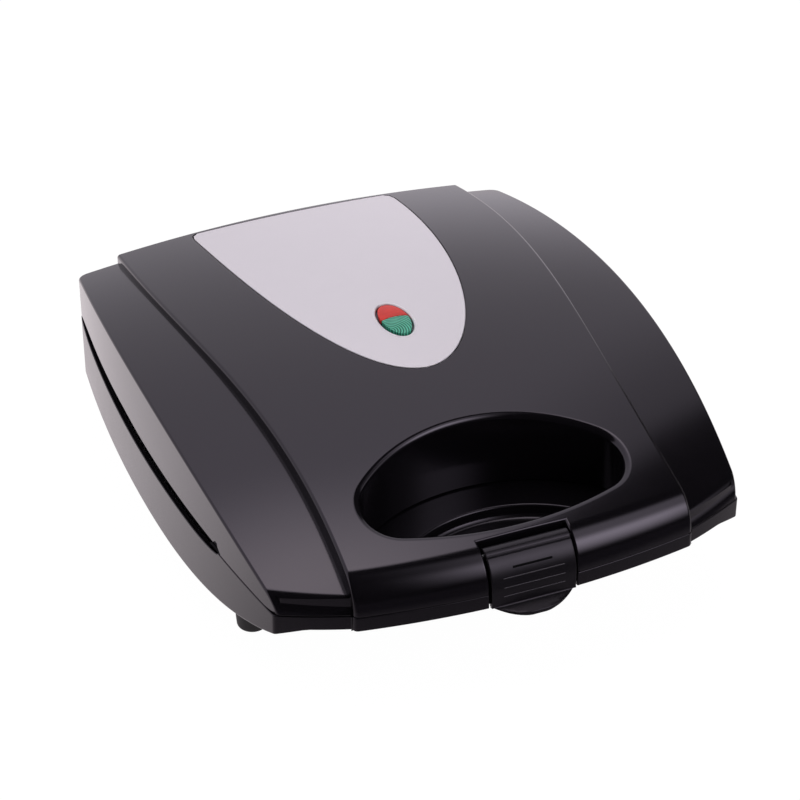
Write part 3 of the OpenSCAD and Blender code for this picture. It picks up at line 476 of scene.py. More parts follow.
class Value:
    """A float socket that takes part in sums."""

    def __init__(self, tree, socket):
        self.tree = tree
        self.socket = socket

    def _with(self, operation, other=None, swapped=False):
        node = self.tree.nodes.new("ShaderNodeMath")
        node.operation = operation
        terms = [other, self] if swapped else [self, other]
        for slot, term in zip(node.inputs, terms):
            if isinstance(term, Value):
                self.tree.links.new(term.socket, slot)
            elif term is not None:
                slot.default_value = term
        return Value(self.tree, node.outputs[0])

    def __add__(self, other):
        return self._with("ADD", other)

    __radd__ = __add__

    def __sub__(self, other):
        return self._with("SUBTRACT", other)

    def __rsub__(self, other):
        return self._with("SUBTRACT", other, True)

    def __mul__(self, other):
        return self._with("MULTIPLY", other)

    __rmul__ = __mul__

    def __truediv__(self, other):
        return self._with("DIVIDE", other)

    def __rtruediv__(self, other):
        return self._with("DIVIDE", other, True)

    def above(self, edge):
        return self._with("GREATER_THAN", edge)

    def most(self, other):
        return self._with("MAXIMUM", other)

    def root(self):
        return self._with("SQRT")

    def sine(self):
        return self._with("SINE")

    def angle_over(self, other):
        return self._with("ARCTAN2", other)

    def ramp(self, start, end):
        """0 below start, 1 above end, smooth between them."""
        node = self.tree.nodes.new("ShaderNodeMapRange")
        node.interpolation_type = "SMOOTHSTEP"
        self.tree.links.new(self.socket, node.inputs["Value"])
        node.inputs["From Min"].default_value = start
        node.inputs["From Max"].default_value = end
        return Value(self.tree, node.outputs["Result"])


class Shader:
    """Adds nodes to a material's or the world's tree."""
    family = "ShaderNode"

    def __init__(self, owner):
        owner.use_nodes = True
        self.tree = owner.node_tree
        self.tree.nodes.clear()

    def node(self, kind, settings=None, **sockets):
        """A node of a kind, with settings as attributes and sockets by name or _number."""
        # this one kind has the shader family's name in every tree
        family = "ShaderNode" if kind == "CombineXYZ" else self.family
        made = self.tree.nodes.new(family + kind)
        for key, value in (settings or {}).items():
            setattr(made, key, value)
        for key, value in sockets.items():
            slot = made.inputs[int(key[1:])] if key[1:].isdigit() else made.inputs[
                key.replace("_", " ")]
            if isinstance(value, Value):
                value = value.socket
            if isinstance(value, bpy.types.NodeSocket):
                self.tree.links.new(value, slot)
            else:
                slot.default_value = value
        return made

    def value(self, node, output=0):
        """An output of a node as a Value."""
        return Value(self.tree, node.outputs[output])

    def noise(self, place, scale, detail=3.0, roughness=0.5):
        """Noise at a place, from 0 to 1."""
        return self.value(self.node("TexNoise", Vector=place, Scale=scale, Detail=detail,
                                    Roughness=roughness))

    def mix(self, factor, a, b):
        """A colour between two colours."""
        return self.node("Mix", {"data_type": "RGBA"}, _0=factor, _6=a, _7=b).outputs[2]

    def surface(self, tone, rough, **constants):
        """The material's surface: tone and roughness may vary, the rest are plain numbers."""
        main = self.node("BsdfPrincipled", Base_Color=tone, Roughness=rough, **constants)
        self.node("OutputMaterial", Surface=main.outputs["BSDF"])
        return main


class Pattern(Shader):
    """A Geometry Nodes tree with named inputs that makes a whole mesh."""
    family = "GeometryNode"

    def __init__(self, name, inputs):
        self.tree = bpy.data.node_groups.new(name, "GeometryNodeTree")
        face = self.tree.interface
        face.new_socket("Geometry", in_out="OUTPUT", socket_type="NodeSocketGeometry")
        self.given = {}
        for label, (kind, value) in inputs.items():
            made = face.new_socket(label, in_out="INPUT", socket_type="NodeSocket" + kind)
            self.given[label] = (made.identifier, value)
        start = self.tree.nodes.new("NodeGroupInput")
        self.inputs = {label: Value(self.tree, start.outputs[label]) for label in inputs}

    def mesh(self, geometry, material):
        """Realise the instances, set the material and return the result as a plain mesh."""
        real = self.node("RealizeInstances", Geometry=geometry)
        dressed = self.node("SetMaterial", Geometry=real.outputs[0], Material=material)
        end = self.tree.nodes.new("NodeGroupOutput")
        self.tree.links.new(dressed.outputs[0], end.inputs[0])
        carrier = shown(self.tree.name + "_source", bpy.data.meshes.new(self.tree.name))
        modifier = carrier.modifiers.new("pattern", "NODES")
        modifier.node_group = self.tree
        for identifier, value in self.given.values():
            modifier[identifier] = value
        ready = carrier.evaluated_get(bpy.context.evaluated_depsgraph_get())
        made = bpy.data.meshes.new_from_object(ready)
        bpy.data.objects.remove(carrier)
        made.materials.clear()
        made.materials.append(material)
        return made


def colour(red, green, blue):
    """An opaque colour, linear."""
    return (red, green, blue, 1.0)


def scaled(rgba, k):
    """A colour made lighter or darker by the factor k."""
    return (rgba[0] * k, rgba[1] * k, rgba[2] * k, 1.0)


FINISHES = {}


def finish(name, base, rough, metallic=0.0, shade=0.12, rough_shade=0.06, scale=220.0,
           bump=0.0, bump_scale=900.0, stretch=(1, 1, 1), ior=1.5, transmission=0.0,
           wear=None, sheen=(1.0, 1.0, 1.0, 1.0)):
    """A procedural finish: a base tone with fine cloudy change in tone, gloss and relief."""
    if (name, base) in FINISHES:
        return FINISHES[name, base]
    material = bpy.data.materials.new(name)
    shader = Shader(material)
    place = shader.node("TexCoord").outputs["Object"]
    place = shader.node("Mapping", Vector=place, Scale=stretch).outputs["Vector"]
    cloud = shader.noise(place, scale * 0.1, 4.0)
    grain = shader.noise(place, scale, 4.0, 0.6)
    tone = shader.mix(cloud * 0.6 + grain * 0.4, scaled(base, 1 - shade), scaled(base, 1 + shade))
    if wear:
        spots = shader.noise(place, wear[1], 2.0).ramp(wear[2], wear[2] + 0.05)
        tone = shader.mix(spots, tone, wear[0])
    main = shader.surface(
        tone, rough + (grain - 0.5) * rough_shade + (cloud - 0.5) * rough_shade,
        Metallic=metallic, IOR=ior, Specular_Tint=sheen, Transmission_Weight=transmission)
    if bump:
        relief = shader.noise(place, bump_scale, 2.0)
        bumped = shader.node("Bump", Height=relief, Strength=bump, Distance=0.0002)
        shader.tree.links.new(bumped.outputs["Normal"], main.inputs["Normal"])
    FINISHES[name, base] = material
    return material


LILAC_SHEEN = colour(1.0, 0.93, 1.06)


def chosen(name):
    """A colour from the settings."""
    return colour(*getattr(bpy.context.scene.toaster_colours, name))


def lid_gloss():
    return finish("lid gloss black", chosen("body"), 0.13, shade=0.1, rough_shade=0.03, scale=60.0,
                  sheen=LILAC_SHEEN)


def base_satin():
    return finish("base satin black", chosen("body"), 0.22, shade=0.12, rough_shade=0.05,
                  scale=90.0, bump=0.03, bump_scale=2600.0, ior=1.45, sheen=LILAC_SHEEN)


def clip_satin():
    return finish("clip satin black", chosen("clip"), 0.3, shade=0.1, rough_shade=0.06,
                  scale=120.0, bump=0.04, bump_scale=2600.0, ior=1.4, sheen=LILAC_SHEEN)


def trim_silver():
    return finish("trim satin silver", chosen("trim"), 0.48, metallic=0.75,
                  shade=0.03, rough_shade=0.04, scale=500.0, bump=0.02, bump_scale=4200.0)


def plate_coating():
    return finish("non-stick coating", chosen("coating"), 0.36, shade=0.25,
                  rough_shade=0.1, scale=500.0, bump=0.12, bump_scale=3000.0)


def cad_finish(node):
    """Finish of a CAD node that stays as it is."""
    if "heating_plate" in node:
        return plate_coating()
    if "element_beads" in node or node == "terminal_block":
        return finish("glazed ceramic", colour(0.78, 0.74, 0.66), 0.35, shade=0.06)
    if "heating_element" in node:
        return finish("heat-tinted rod", colour(0.22, 0.19, 0.17), 0.4, metallic=1.0, shade=0.3,
                      wear=(colour(0.16, 0.1, 0.09), 30.0, 0.5))
    if "reflector" in node or "element_clips" in node:
        return finish("aluminised sheet", colour(0.6, 0.61, 0.62), 0.32, metallic=1.0, shade=0.08,
                      stretch=(1, 12, 1))
    if "screws" in node or node in ("hinge_pins", "clip_pin"):
        return finish("bright steel", colour(0.56, 0.56, 0.57), 0.24, metallic=1.0, shade=0.06,
                      stretch=(6, 1, 1))
    if node in ("lower_cutout", "thermostat"):
        return finish("switch nickel", colour(0.62, 0.56, 0.44), 0.3, metallic=1.0, shade=0.08)
    if node == "thermal_fuse":
        return finish("fuse sleeve", colour(0.7, 0.6, 0.38), 0.38, shade=0.06)
    if node == "earth_tag":
        return finish("tag brass", colour(0.68, 0.5, 0.2), 0.28, metallic=1.0, shade=0.1)
    if "wiring" in node:
        return finish("glass-braid sleeve", colour(0.72, 0.7, 0.64), 0.75, shade=0.14,
                      scale=900.0, bump=0.3, bump_scale=1800.0)
    if node == "cord_gland" or "feet" in node:
        return foot_rubber()
    if node == "lamp_holder":
        return finish("holder black", colour(0.02, 0.02, 0.021), 0.45, shade=0.1, bump=0.05)
    if node == "neon_lamps":
        return finish("lamp glass", colour(0.85, 0.62, 0.48), 0.08, shade=0.05, transmission=0.6)
    if node == "trim_plate":
        return trim_silver()
    if node == "lens_red":
        return lens_finish("lens red", chosen("red"), False)
    if node == "lens_green":
        return lens_finish("lens green", chosen("green"), True)
    if node == "latch_clip":
        return clip_satin()
    if node == "lower_housing":
        return base_satin()
    return lid_gloss()


def foot_rubber():
    return finish("foot rubber", colour(0.016, 0.016, 0.017), 0.6, shade=0.15, rough_shade=0.1,
                  bump=0.15, bump_scale=1500.0)


def lens_finish(name, base, ribbed):
    """Clear coloured plastic, cloudy; where it is ribbed, bright arcs in its colour are painted
    highlights of the ribs.
    """
    if (name, base) in FINISHES:
        return FINISHES[name, base]
    material = bpy.data.materials.new(name)
    shader = Shader(material)
    place = shader.node("TexCoord").outputs["Object"]
    cloud = shader.noise(place, 160.0, 2.0)
    if ribbed:
        way = shader.node("SeparateXYZ", Vector=place)
        x = shader.value(way, 0) - LENS_RINGS[0] * MM
        y = shader.value(way, 1) - (LENS_Y + LENS_RINGS[1]) * MM
        # painted highlights: the ribs' bright arcs are put into the colour
        rib_highlight_bands = ((x * x + y * y).root() * (2 * math.pi / (LENS_PITCH * MM))).sine()
        depth = rib_highlight_bands * 0.5 + cloud * 0.5 + 0.2
        dark, light = scaled(base, 0.35), chosen("ribs")
    else:
        depth = cloud * 0.5 + 0.25
        dark, light = scaled(base, 0.6), scaled(base, 1.4)
    shader.surface(shader.mix(depth, dark, light), cloud * 0.05 + 0.08, IOR=1.33)
    FINISHES[name, base] = material
    return material


# ---- settings --------------------------------------------------------------

def length(text, metres):
    """A length setting with its default in metres."""
    return FloatProperty(name=text, description=text, default=metres, min=0.0, unit="LENGTH",
                         precision=5)


def shade_of(text, rgb):
    """A colour setting with its linear default."""
    return FloatVectorProperty(name=text, description=text, default=rgb, size=3, min=0.0,
                               max=1.0, subtype="COLOR")


class ToasterColourSettings(bpy.types.PropertyGroup):
    """Colours of the plastics, the plates and the window"""
    body: shade_of("Lid and base", (0.0048, 0.0042, 0.0054))
    clip: shade_of("Clip", (0.009, 0.0082, 0.0096))
    trim: shade_of("Inlaid plate", (0.78, 0.762, 0.776))
    coating: shade_of("Coating of the hot plates", (0.028, 0.028, 0.031))
    red: shade_of("Red half of the window", (0.85, 0.035, 0.018))
    green: shade_of("Green half of the window", (0.03, 0.42, 0.24))
    # painted highlights: colour of the bright arcs on the green half's ribs
    ribs: shade_of("Bright ribs of the green half", (0.16, 0.8, 0.53))


class ToasterLidSettings(bpy.types.PropertyGroup):
    """Rounding of the lid's edges"""
    handle_roll: length("Radius of the handle's rounded front", 0.022)
    shoulder_roll: length("Radius of the rounded front beside the handle", 0.013)
    ridge: length("Radius of the ridge along the sides", 0.0015)
    step_edge: length("Radius of the edge of the raised middle", 0.002)
    front_corner: length("Radius of the upright front corners", 0.003)
    rear_edge: length("Radius of the rear top edge", 0.0025)
    grip_edge: length("Radius of the hand opening's edge", 0.004)
    seam_edge: length("Radius of the edges at the joint", 0.0005)


class ToasterClipSettings(bpy.types.PropertyGroup):
    """Ribs and edges of the clip"""
    ribs: IntProperty(name="Ribs", description="Long ribs on the clip's face", default=3,
                      min=1, max=6)
    rib_pitch: length("Distance between the ribs", 0.0052)
    rib_length: length("Length of each rib", 0.034)
    rib_radius: length("Radius of each rib", 0.0003)
    edge: length("Radius of the clip's edges", 0.0006)


class ToasterPlateSettings(bpy.types.PropertyGroup):
    """Form of the sandwich pockets"""
    rim: length("Radius of each pocket's rim", 0.0022)
    floor_radius: length("Radius between a pocket's wall and floor", 0.005)
    draft: length("How far each pocket wall leans in", 0.0035)


class ToasterStageSettings(bpy.types.PropertyGroup):
    """Camera and light"""
    azimuth: FloatProperty(name="Azimuth", description="Camera angle round the toaster, in degrees",
                           default=-22.3)
    elevation: FloatProperty(name="Elevation", description="Camera angle above the table",
                             default=33.02)
    roll: FloatProperty(name="Roll", description="Camera roll in degrees", default=-0.45)
    distance: length("Distance from the camera to the toaster", 1.6068)
    lens: FloatProperty(name="Lens", description="Focal length in millimetres", default=130.5)
    aim: FloatVectorProperty(name="Aim", description="Shift of the aim, right and up, in metres",
                             size=2, default=(-0.000084, 0.0046))


# ---- lid -------------------------------------------------------------------

class Panel:
    """A lid panel: a bowed front wall, its roll and the crowned top behind it."""

    def __init__(self, surf, bow_r, bow_cy, roll, floor_z, side_edge, corner_edge):
        self.surf = surf
        self.bow_r = bow_r
        self.bow_cy = bow_cy
        self.roll = roll
        self.floor_z = floor_z
        self.side_edge = side_edge
        self.corner_edge = corner_edge

    def edge_at(self, t):
        """Radius of the side edge at a place on the roll: 0 on the wall, 1 on the top."""
        return self.corner_edge + (self.side_edge - self.corner_edge) * max(0.0, t) ** 0.7

    def point(self, phi, t):
        """Points and normals at bow angles phi: on the wall's foot (t < 0) or the roll."""
        out = np.column_stack([np.sin(phi), -np.cos(phi)])
        centre_xy = out * (self.bow_r - self.roll) + [0, self.bow_cy]
        centre, top = self.surf.at(centre_xy, self.roll)
        outward = level(out)
        d = slerp(outward, top, max(t, 0.0))
        p = centre + self.roll * d
        p[:, 2] = np.maximum(p[:, 2], self.floor_z) if t >= 0 else self.floor_z
        return p, d

    def column(self, bound, t):
        """Bow angle where the row t reaches the side bound."""
        phi = np.array([math.asin(bound(-150.0, t) / self.bow_r)])
        for _ in range(25):
            p, _normal = self.point(phi, t)
            phi = phi + (bound(p[0, 1], t) - p[0, 0]) / self.bow_r
        return phi[0]

    def front(self, skin, left, right, columns, steps=14):
        """Front wall and roll between two side bounds; returns its rows from the foot up."""
        rows = []
        for t in [-1.0, *np.linspace(0, 1, steps + 1)]:
            a, b = self.column(left, t), self.column(right, t)
            rows.append(self.point(a + (b - a) * np.linspace(0, 1, columns + 1), t))
        skin.rows(rows)
        return rows


def side_run(rows, column):
    """One side of the front patch, from its foot to the top."""
    return (np.array([p[column] for p, _ in rows]), np.array([n[column] for _, n in rows]))


def roll_rows(panel, rows):
    """Radius of the side edge at each row of the front patch."""
    return np.array([panel.edge_at(t) for t in [-1.0, *np.linspace(0, 1, len(rows) - 1)]])


def slot_edge(y, front, rear, corner):
    """Depth of the side slot's edge at y: a blunt end in front, running out at the rear."""
    run = np.clip((y - SLOT_FRONT) / (SLOT_REAR - SLOT_FRONT), 0, 1)
    start = np.clip((y - SLOT_FRONT) / corner, 0, 1)
    end = np.clip((SLOT_REAR - y) / SLOT_FADE, 0, 1)
    blunt = np.sqrt(1 - (1 - start) ** 2) * np.sqrt(1 - (1 - end) ** 2)
    return (front + (rear - front) * run) * blunt


def slot_stations():
    """Places along a side wall that give the slot's ends enough points."""
    near = np.linspace(0, 1, 9) ** 2
    front_reach, rear_reach = 3.0, 8.0
    return np.concatenate([SLOT_FRONT + front_reach * near, SLOT_REAR - rear_reach * near])


def rear_corner(radius, hw):
    """Centre of the plan arc that joins a side wall to the rear wall."""
    lo, hi = 60.0, REAR
    for _ in range(60):
        y = (lo + hi) / 2
        x = hw(y) - radius
        gap = math.hypot(x, y - REAR_CY) - (REAR_BOW_R - radius)
        lo, hi = (y, hi) if gap < 0 else (lo, y)
    return np.array([hw(lo) - radius, lo])


def lid_shoulder(settings):
    """Right shoulder of the lid, from the raised middle out to the side wall."""
    skin = Skin()
    mm = 1 / MM
    ridge, seam = settings.ridge * mm, settings.seam_edge * mm
    rear_edge = settings.rear_edge * mm
    corner_edge = settings.front_corner * mm
    floor_z = LID_Z + seam
    panel = Panel(SHOULDER, SHOULDER_BOW_R, SHOULDER_CY, settings.shoulder_roll * mm, floor_z,
                  ridge, corner_edge)
    # the shoulder's surface runs on a little under the raised middle
    tuck, columns = 1.2, 14
    rows = panel.front(skin, lambda y, t: deck_hw(y) - tuck,
                       lambda y, t: side_hw(y) - panel.edge_at(t), columns)
    front_p, front_n = side_run(rows, -1)
    front_r = roll_rows(panel, rows)
    start_y = front_p[-1][1]
    corner_r = 8.0
    centre = rear_corner(corner_r, side_hw)
    ys = np.union1d(np.linspace(start_y, centre[1], 70)[1:], slot_stations())
    ys = ys[ys <= centre[1]]
    side_xy = np.column_stack([side_hw(ys) - ridge, ys])
    slope = (ys - WIDEST_Y) / np.sqrt(SIDE_R ** 2 - (ys - WIDEST_Y) ** 2)
    side_out = unit(np.column_stack([np.ones(len(ys)), slope]))
    h1 = math.atan2(centre[1] - REAR_CY, centre[0])
    h0 = math.atan2(side_out[-1][1], side_out[-1][0])
    h = np.linspace(h0, h1, 9)[1:]
    corner_out = around(h)
    corner_e = ridge + (rear_edge - ridge) * np.linspace(0, 1, 9)[1:]
    corner_xy = centre + (corner_r - corner_e)[:, None] * corner_out
    inner_x = deck_hw(REAR) - tuck
    xs = np.linspace(corner_xy[-1][0], inner_x, 8)[1:]
    rear_xy = np.column_stack([xs, rear_y(xs) - rear_edge])
    rear_out = unit(np.column_stack([xs, rear_xy[:, 1] - REAR_CY]))
    edge_xy = np.vstack([side_xy, corner_xy, rear_xy])
    edge_out = level(np.vstack([side_out, corner_out, rear_out]))
    edge_r = np.concatenate([np.full(len(ys), ridge), corner_e, np.full(len(xs), rear_edge)])
    back_y = np.linspace(rear_xy[-1][1], rows[-1][0][0][1], 60)[1:-1]
    inner_xy = np.column_stack([deck_hw(back_y) - tuck, back_y])
    outline = np.vstack([rows[-1][0][:, :2], edge_xy, inner_xy])
    skin.cover(SHOULDER.at, outline)
    edge_p, edge_n = SHOULDER.at(edge_xy)
    front_out = np.column_stack([np.ones(len(front_p)),
                                 (front_p[:, 1] - WIDEST_Y) / SIDE_R, np.zeros(len(front_p))])
    points = np.vstack([front_p, edge_p])
    normals = np.vstack([front_n, edge_n])
    outward = unit(np.vstack([front_out, edge_out]))
    radius = np.concatenate([front_r, edge_r])
    arcs = edge_arc(points, normals, outward, radius, 6)
    skin.rows(arcs)
    # wall with the side slot, and a dark liner behind the slot
    wall_p, wall_n = arcs[-1]
    beside = (wall_p[:, 0] > BODY_HW - 40) & (wall_n[:, 0] > 0.7)
    z = floor_z + np.where(beside, slot_edge(wall_p[:, 1], *SLOT_RISE), 0)
    foot = drop(skin, wall_p, wall_n, z)
    lined = beside & (wall_p[:, 1] > SLOT_FRONT - 8)
    liner_in, liner_top, liner_foot = 1.8, LID_Z + 14, LID_Z + 0.2
    liner, away = wall_p[lined] - liner_in * wall_n[lined], wall_n[lined]
    skin.rows([(with_z(liner, liner_top), away), (with_z(liner, liner_foot), away)])
    corner = [row[0][0] for row in arcs[1:-1]]
    corner_n = [row[1][0] for row in arcs[1:-1]]
    hem_p = np.vstack([rows[0][0], corner, foot])
    hem_n = np.vstack([rows[0][1], corner_n, wall_n])
    hem(skin, hem_p, unit(hem_n * [1, 1, 0]), seam)
    return skin


def grip_outline(grow, step=4.0):
    """Hand opening with its normals: bowed front, round ends, arched rear, all tangent."""
    bow_y = GRIP_FRONT + GRIP_BOW_R
    end_x = GRIP_HW - GRIP_END_R
    end_y = bow_y - math.sqrt((GRIP_BOW_R - GRIP_END_R) ** 2 - end_x ** 2)
    rise = GRIP_REAR - end_y
    arch_r = (end_x ** 2 + rise ** 2 - GRIP_END_R ** 2) / (2 * (rise - GRIP_END_R))
    arch_y = GRIP_REAR - arch_r
    low = math.atan2(end_y - bow_y, end_x)
    high = math.atan2(end_y - arch_y, end_x)
    points, normals = [], []
    for x, y, r, h0, h1 in ((0, bow_y, GRIP_BOW_R, -math.pi - low, low),
                            (end_x, end_y, GRIP_END_R, low, high),
                            (0, arch_y, arch_r, high, math.pi - high),
                            (-end_x, end_y, GRIP_END_R, math.pi - high, math.pi - low)):
        n = math.ceil((h1 - h0) * r / step) + 4
        h = np.linspace(h0, h1, n, endpoint=False)
        out = around(h)
        points.append(out * (r + grow) + [x, y])
        normals.append(out)
    return np.vstack(points), np.vstack(normals)


def trim_outline(grow, n=60):
    """Inlaid plate: a pointed arch towards the handle with a straight back."""
    a = np.linspace(-90, 90, 2 * n + 1)
    c = np.clip(np.cos(np.radians(a)), 0, 1)
    arch = np.column_stack([(TRIM_HW + grow) * np.sin(np.radians(a)),
                            TRIM_SHOULDER - (TRIM_LEN + grow) * c ** 0.909])
    hw = TRIM_HW + grow
    back = np.array([[hw - 1, TRIM_BACK - 3 + grow], [hw - 4, TRIM_BACK + grow],
                     [4 - hw, TRIM_BACK + grow], [1 - hw, TRIM_BACK - 3 + grow]])
    return spaced(np.vstack([arch, back]), 3.0)


def lid_deck(settings):
    """Raised middle of the lid with the handle, its opening, the bay and the trim's seat."""
    skin = Skin()
    mm = 1 / MM
    seam, rear_edge = settings.seam_edge * mm, settings.rear_edge * mm
    step_edge, grip_edge = settings.step_edge * mm, settings.grip_edge * mm
    floor_z = LID_Z + seam
    bay_edge, groove_edge = 1.3, 0.3
    panel = Panel(DECK, HANDLE_BOW_R, HANDLE_CY, settings.handle_roll * mm, floor_z,
                  step_edge, settings.front_corner * mm)
    # the wing holds what lies right of the middle; the left is its mirror image
    wing = Skin()
    rows = panel.front(wing, lambda y, t: BAY_HW + bay_edge,
                       lambda y, t: deck_hw(y) - panel.edge_at(t), 22, 22)
    front_p, front_n = side_run(rows, -1)
    front_r = roll_rows(panel, rows)
    bay_p, bay_n = side_run(rows, 0)
    back_y = BAY_BACK + bay_edge
    rear_x = deck_hw(REAR) - step_edge
    ys = np.linspace(front_p[-1][1], rear_y(rear_x) - rear_edge, 90)[1:]
    side_xy = np.column_stack([deck_hw(ys) - step_edge, ys])
    side_out = unit(np.column_stack([np.ones(len(ys)), -np.gradient(deck_hw(ys), ys)]))
    rear_xs = np.linspace(side_xy[-1][0], -side_xy[-1][0], 41)[1:-1]
    rear_xy = np.column_stack([rear_xs, rear_y(rear_xs) - rear_edge])
    mirror = np.array([-1, 1])
    top_row = rows[-1][0][:, :2]
    notch = np.array([[BAY_HW + bay_edge, back_y], [-BAY_HW - bay_edge, back_y]])
    notch = spaced(np.vstack([bay_p[-1][:2], notch, bay_p[-1][:2] * mirror]), 3.0)[1:-1]
    outline = np.vstack([top_row, side_xy, rear_xy, (side_xy * mirror)[::-1],
                         (top_row * mirror)[::-1], notch[::-1]])
    grip_xy, grip_out = grip_outline(grip_edge)
    trim_hole = trim_outline(TRIM_GAP + groove_edge)
    skin.cover(DECK.at, outline, [grip_xy, trim_hole])
    # hand opening
    p, n = DECK.at(grip_xy)
    arcs = edge_arc(p, n, level(-grip_out), grip_edge, 8)
    skin.rows(arcs, True)
    foot = drop(skin, *arcs[-1], floor_z + 0.4, True)
    hem(skin, foot, arcs[-1][1], seam, True)
    # seat of the inlaid plate
    p, n = DECK.at(trim_hole)
    out = level(plan_normals(trim_hole))
    arcs = edge_arc(p, n, -out, groove_edge, 3)
    skin.rows(arcs, True)
    wall_p = arcs[-1][0]
    seat_z = DECK.at(trim_outline(TRIM_GAP), TRIM_SEAT)[0][:, 2]
    skin.rows([(wall_p, -out), (with_z(wall_p, seat_z), -out)], True)
    skin.cover(lambda xy: DECK.at(xy, TRIM_SEAT), wall_p[:, :2], [], 10.0)
    # bay for the clip
    out = facing(-1, 0, 0, bay_p)
    arcs = edge_arc(bay_p, bay_n, out, bay_edge, 4)
    wing.rows(arcs)
    wall_p = arcs[-1][0]
    deep = wall_p.copy()
    deep[:, 1] = BAY_BACK
    wing.rows([(wall_p, out), (deep, out)])
    # the bay's edge on the crowned top, beside the clip and behind it
    below = 8
    short = np.linspace(bay_p[-1][1], back_y, 5)
    p, n = DECK.at(np.column_stack([np.full(5, BAY_HW + bay_edge), short]))
    arcs = edge_arc(p, n, facing(-1, 0, 0, p), bay_edge, 4)
    wing.rows(arcs)
    wing.rows([arcs[-1], (with_z(arcs[-1][0], arcs[-1][0][0][2] - below), arcs[-1][1])])
    xs = np.linspace(-BAY_HW - bay_edge, BAY_HW + bay_edge, 15)
    p, n = DECK.at(np.column_stack([xs, np.full(15, back_y)]))
    arcs = edge_arc(p, n, facing(0, -1, 0, p), bay_edge, 4)
    skin.rows(arcs)
    drop(skin, *arcs[-1], floor_z)
    # side walls with the front corners
    sunk, reach_back = 2.0, 16
    edge_p, edge_n = DECK.at(side_xy)
    front_out = np.column_stack([np.ones(len(front_p)), np.full(len(front_p), -0.03),
                                 np.zeros(len(front_p))])
    points = np.vstack([front_p, edge_p])
    normals = np.vstack([front_n, edge_n])
    outward = unit(np.vstack([front_out, level(side_out)]))
    radius = np.concatenate([front_r, np.full(len(ys), step_edge)])
    arcs = edge_arc(points, normals, outward, radius, 5)
    wing.rows(arcs)
    wall_p, wall_n = arcs[-1]
    shoulder_top = SHOULDER.at(wall_p[:, :2])[0][:, 2] - sunk
    behind = wall_p[:, 1] > shoulder_y(deck_hw(-160.0)) + reach_back
    z = np.where(behind, np.maximum(shoulder_top, floor_z), floor_z)
    foot = drop(wing, wall_p, wall_n, z)
    corner = [row[0][0] for row in arcs[1:-1]]
    corner_n = [row[1][0] for row in arcs[1:-1]]
    low = foot[:, 2] < floor_z + 0.01
    hem_p = np.vstack([rows[0][0], corner, foot[low]])
    hem_n = np.vstack([rows[0][1], corner_n, wall_n[low]])
    hem(wing, hem_p, unit(hem_n * [1, 1, 0]), seam)
    skin.both_sides(wing)
    # rear edge and wall
    turn = np.linspace(0, 1, 7)[:, None]
    c = side_xy[-1:]
    rear_out = unit(np.column_stack([rear_xs, rear_xy[:, 1] - REAR_CY]))
    fan = slerp(np.tile(level(side_out[-1:]), (7, 1)), np.tile(level(rear_out[:1]), (7, 1)), turn)
    fan_r = step_edge + (rear_edge - step_edge) * turn[:, 0]
    xy = np.vstack([np.tile(c, (7, 1)), rear_xy, np.tile(c * mirror, (7, 1))])
    out = np.vstack([fan, level(rear_out), (fan * [-1, 1, 1])[::-1]])
    r = np.concatenate([fan_r, np.full(len(rear_xs), rear_edge), fan_r[::-1]])
    p, n = DECK.at(xy)
    arcs = edge_arc(p, n, out, r, 5)
    skin.rows(arcs)
    foot = drop(skin, *arcs[-1], floor_z)
    hem(skin, foot, arcs[-1][1], seam)
    return skin


def build_lid(settings):
    """The whole lid shell: raised middle, two shoulders and the hinge's knuckles."""
    skin = lid_deck(settings)
    skin.both_sides(lid_shoulder(settings))
    for x in (-HINGE_X, HINGE_X):
        x_prism(skin, ear_profile(True), x - KNUCKLE_W / 2, x + KNUCKLE_W / 2, EAR_EDGE)
    return skin.build("lid_shell", lid_gloss())


# ---- shared forms ----------------------------------------------------------

def bowl(skin, xy, out, z, sense, rim, depth, lean, floor_r, back=0.0):
    """Pocket sunk into a level face: rounded rim, leaning wall, filleted floor."""
    up = facing(0, 0, sense, xy)
    away = level(out)
    rows = edge_arc(level(xy + rim * out, z), up, -away, rim, 5)
    fall = depth - rim - floor_r
    wall_n = unit(-away * fall + up * lean)
    foot = level(xy - lean * out, z - sense * (depth - floor_r))
    rows += [(rows[-1][0], wall_n), (foot, wall_n)]
    for t in np.linspace(0, math.pi / 2, 6)[1:]:
        p = foot - floor_r * (1 - math.cos(t)) * away - floor_r * math.sin(t) * up
        rows.append((p, slerp(wall_n, up, t / (math.pi / 2))))
    skin.rows(rows, True)
    skin.cover(plane(z - sense * depth, sense), rows[-1][0][:, :2], [], 14.0)
    if back:
        # the pocket's other side, back thick, which starts behind the plate's face
        start = 1.5
        skirt = level(xy + back * out, z - sense * start)
        end = skirt - lean * away - (depth + back - start) * up
        skin.rows([(skirt, away), (end, away)], True)
        skin.cover(plane(z - sense * (depth + back), -sense), end[:, :2], [], 20.0)


def x_prism(skin, profile, x0, x1, edge, columns=1, bend=None):
    """A (y, z) outline drawn out along X with rounded ends; bend may move its points."""
    side = plan_normals(profile)
    normal = np.column_stack([np.zeros(len(side)), side])
    bend = bend or (lambda points, normals: (points, normals))
    rows = []
    for x in np.linspace(x0 + edge, x1 - edge, columns + 1):
        points = np.column_stack([np.full(len(profile), x), profile])
        rows.append(bend(points, normal))
    skin.rows(rows, True)
    for (points, normals), way in ((rows[0], -1.0), (rows[-1], 1.0)):
        arcs = edge_arc(points, normals, facing(way, 0, 0, points), edge, 3)
        skin.rows(arcs, True)
        end = arcs[-1][0]
        skin.cover(lambda yz: (np.column_stack([np.full(len(yz), end[0, 0]), yz]),
                               facing(way, 0, 0, yz)), end[:, 1:], [], 4.0)


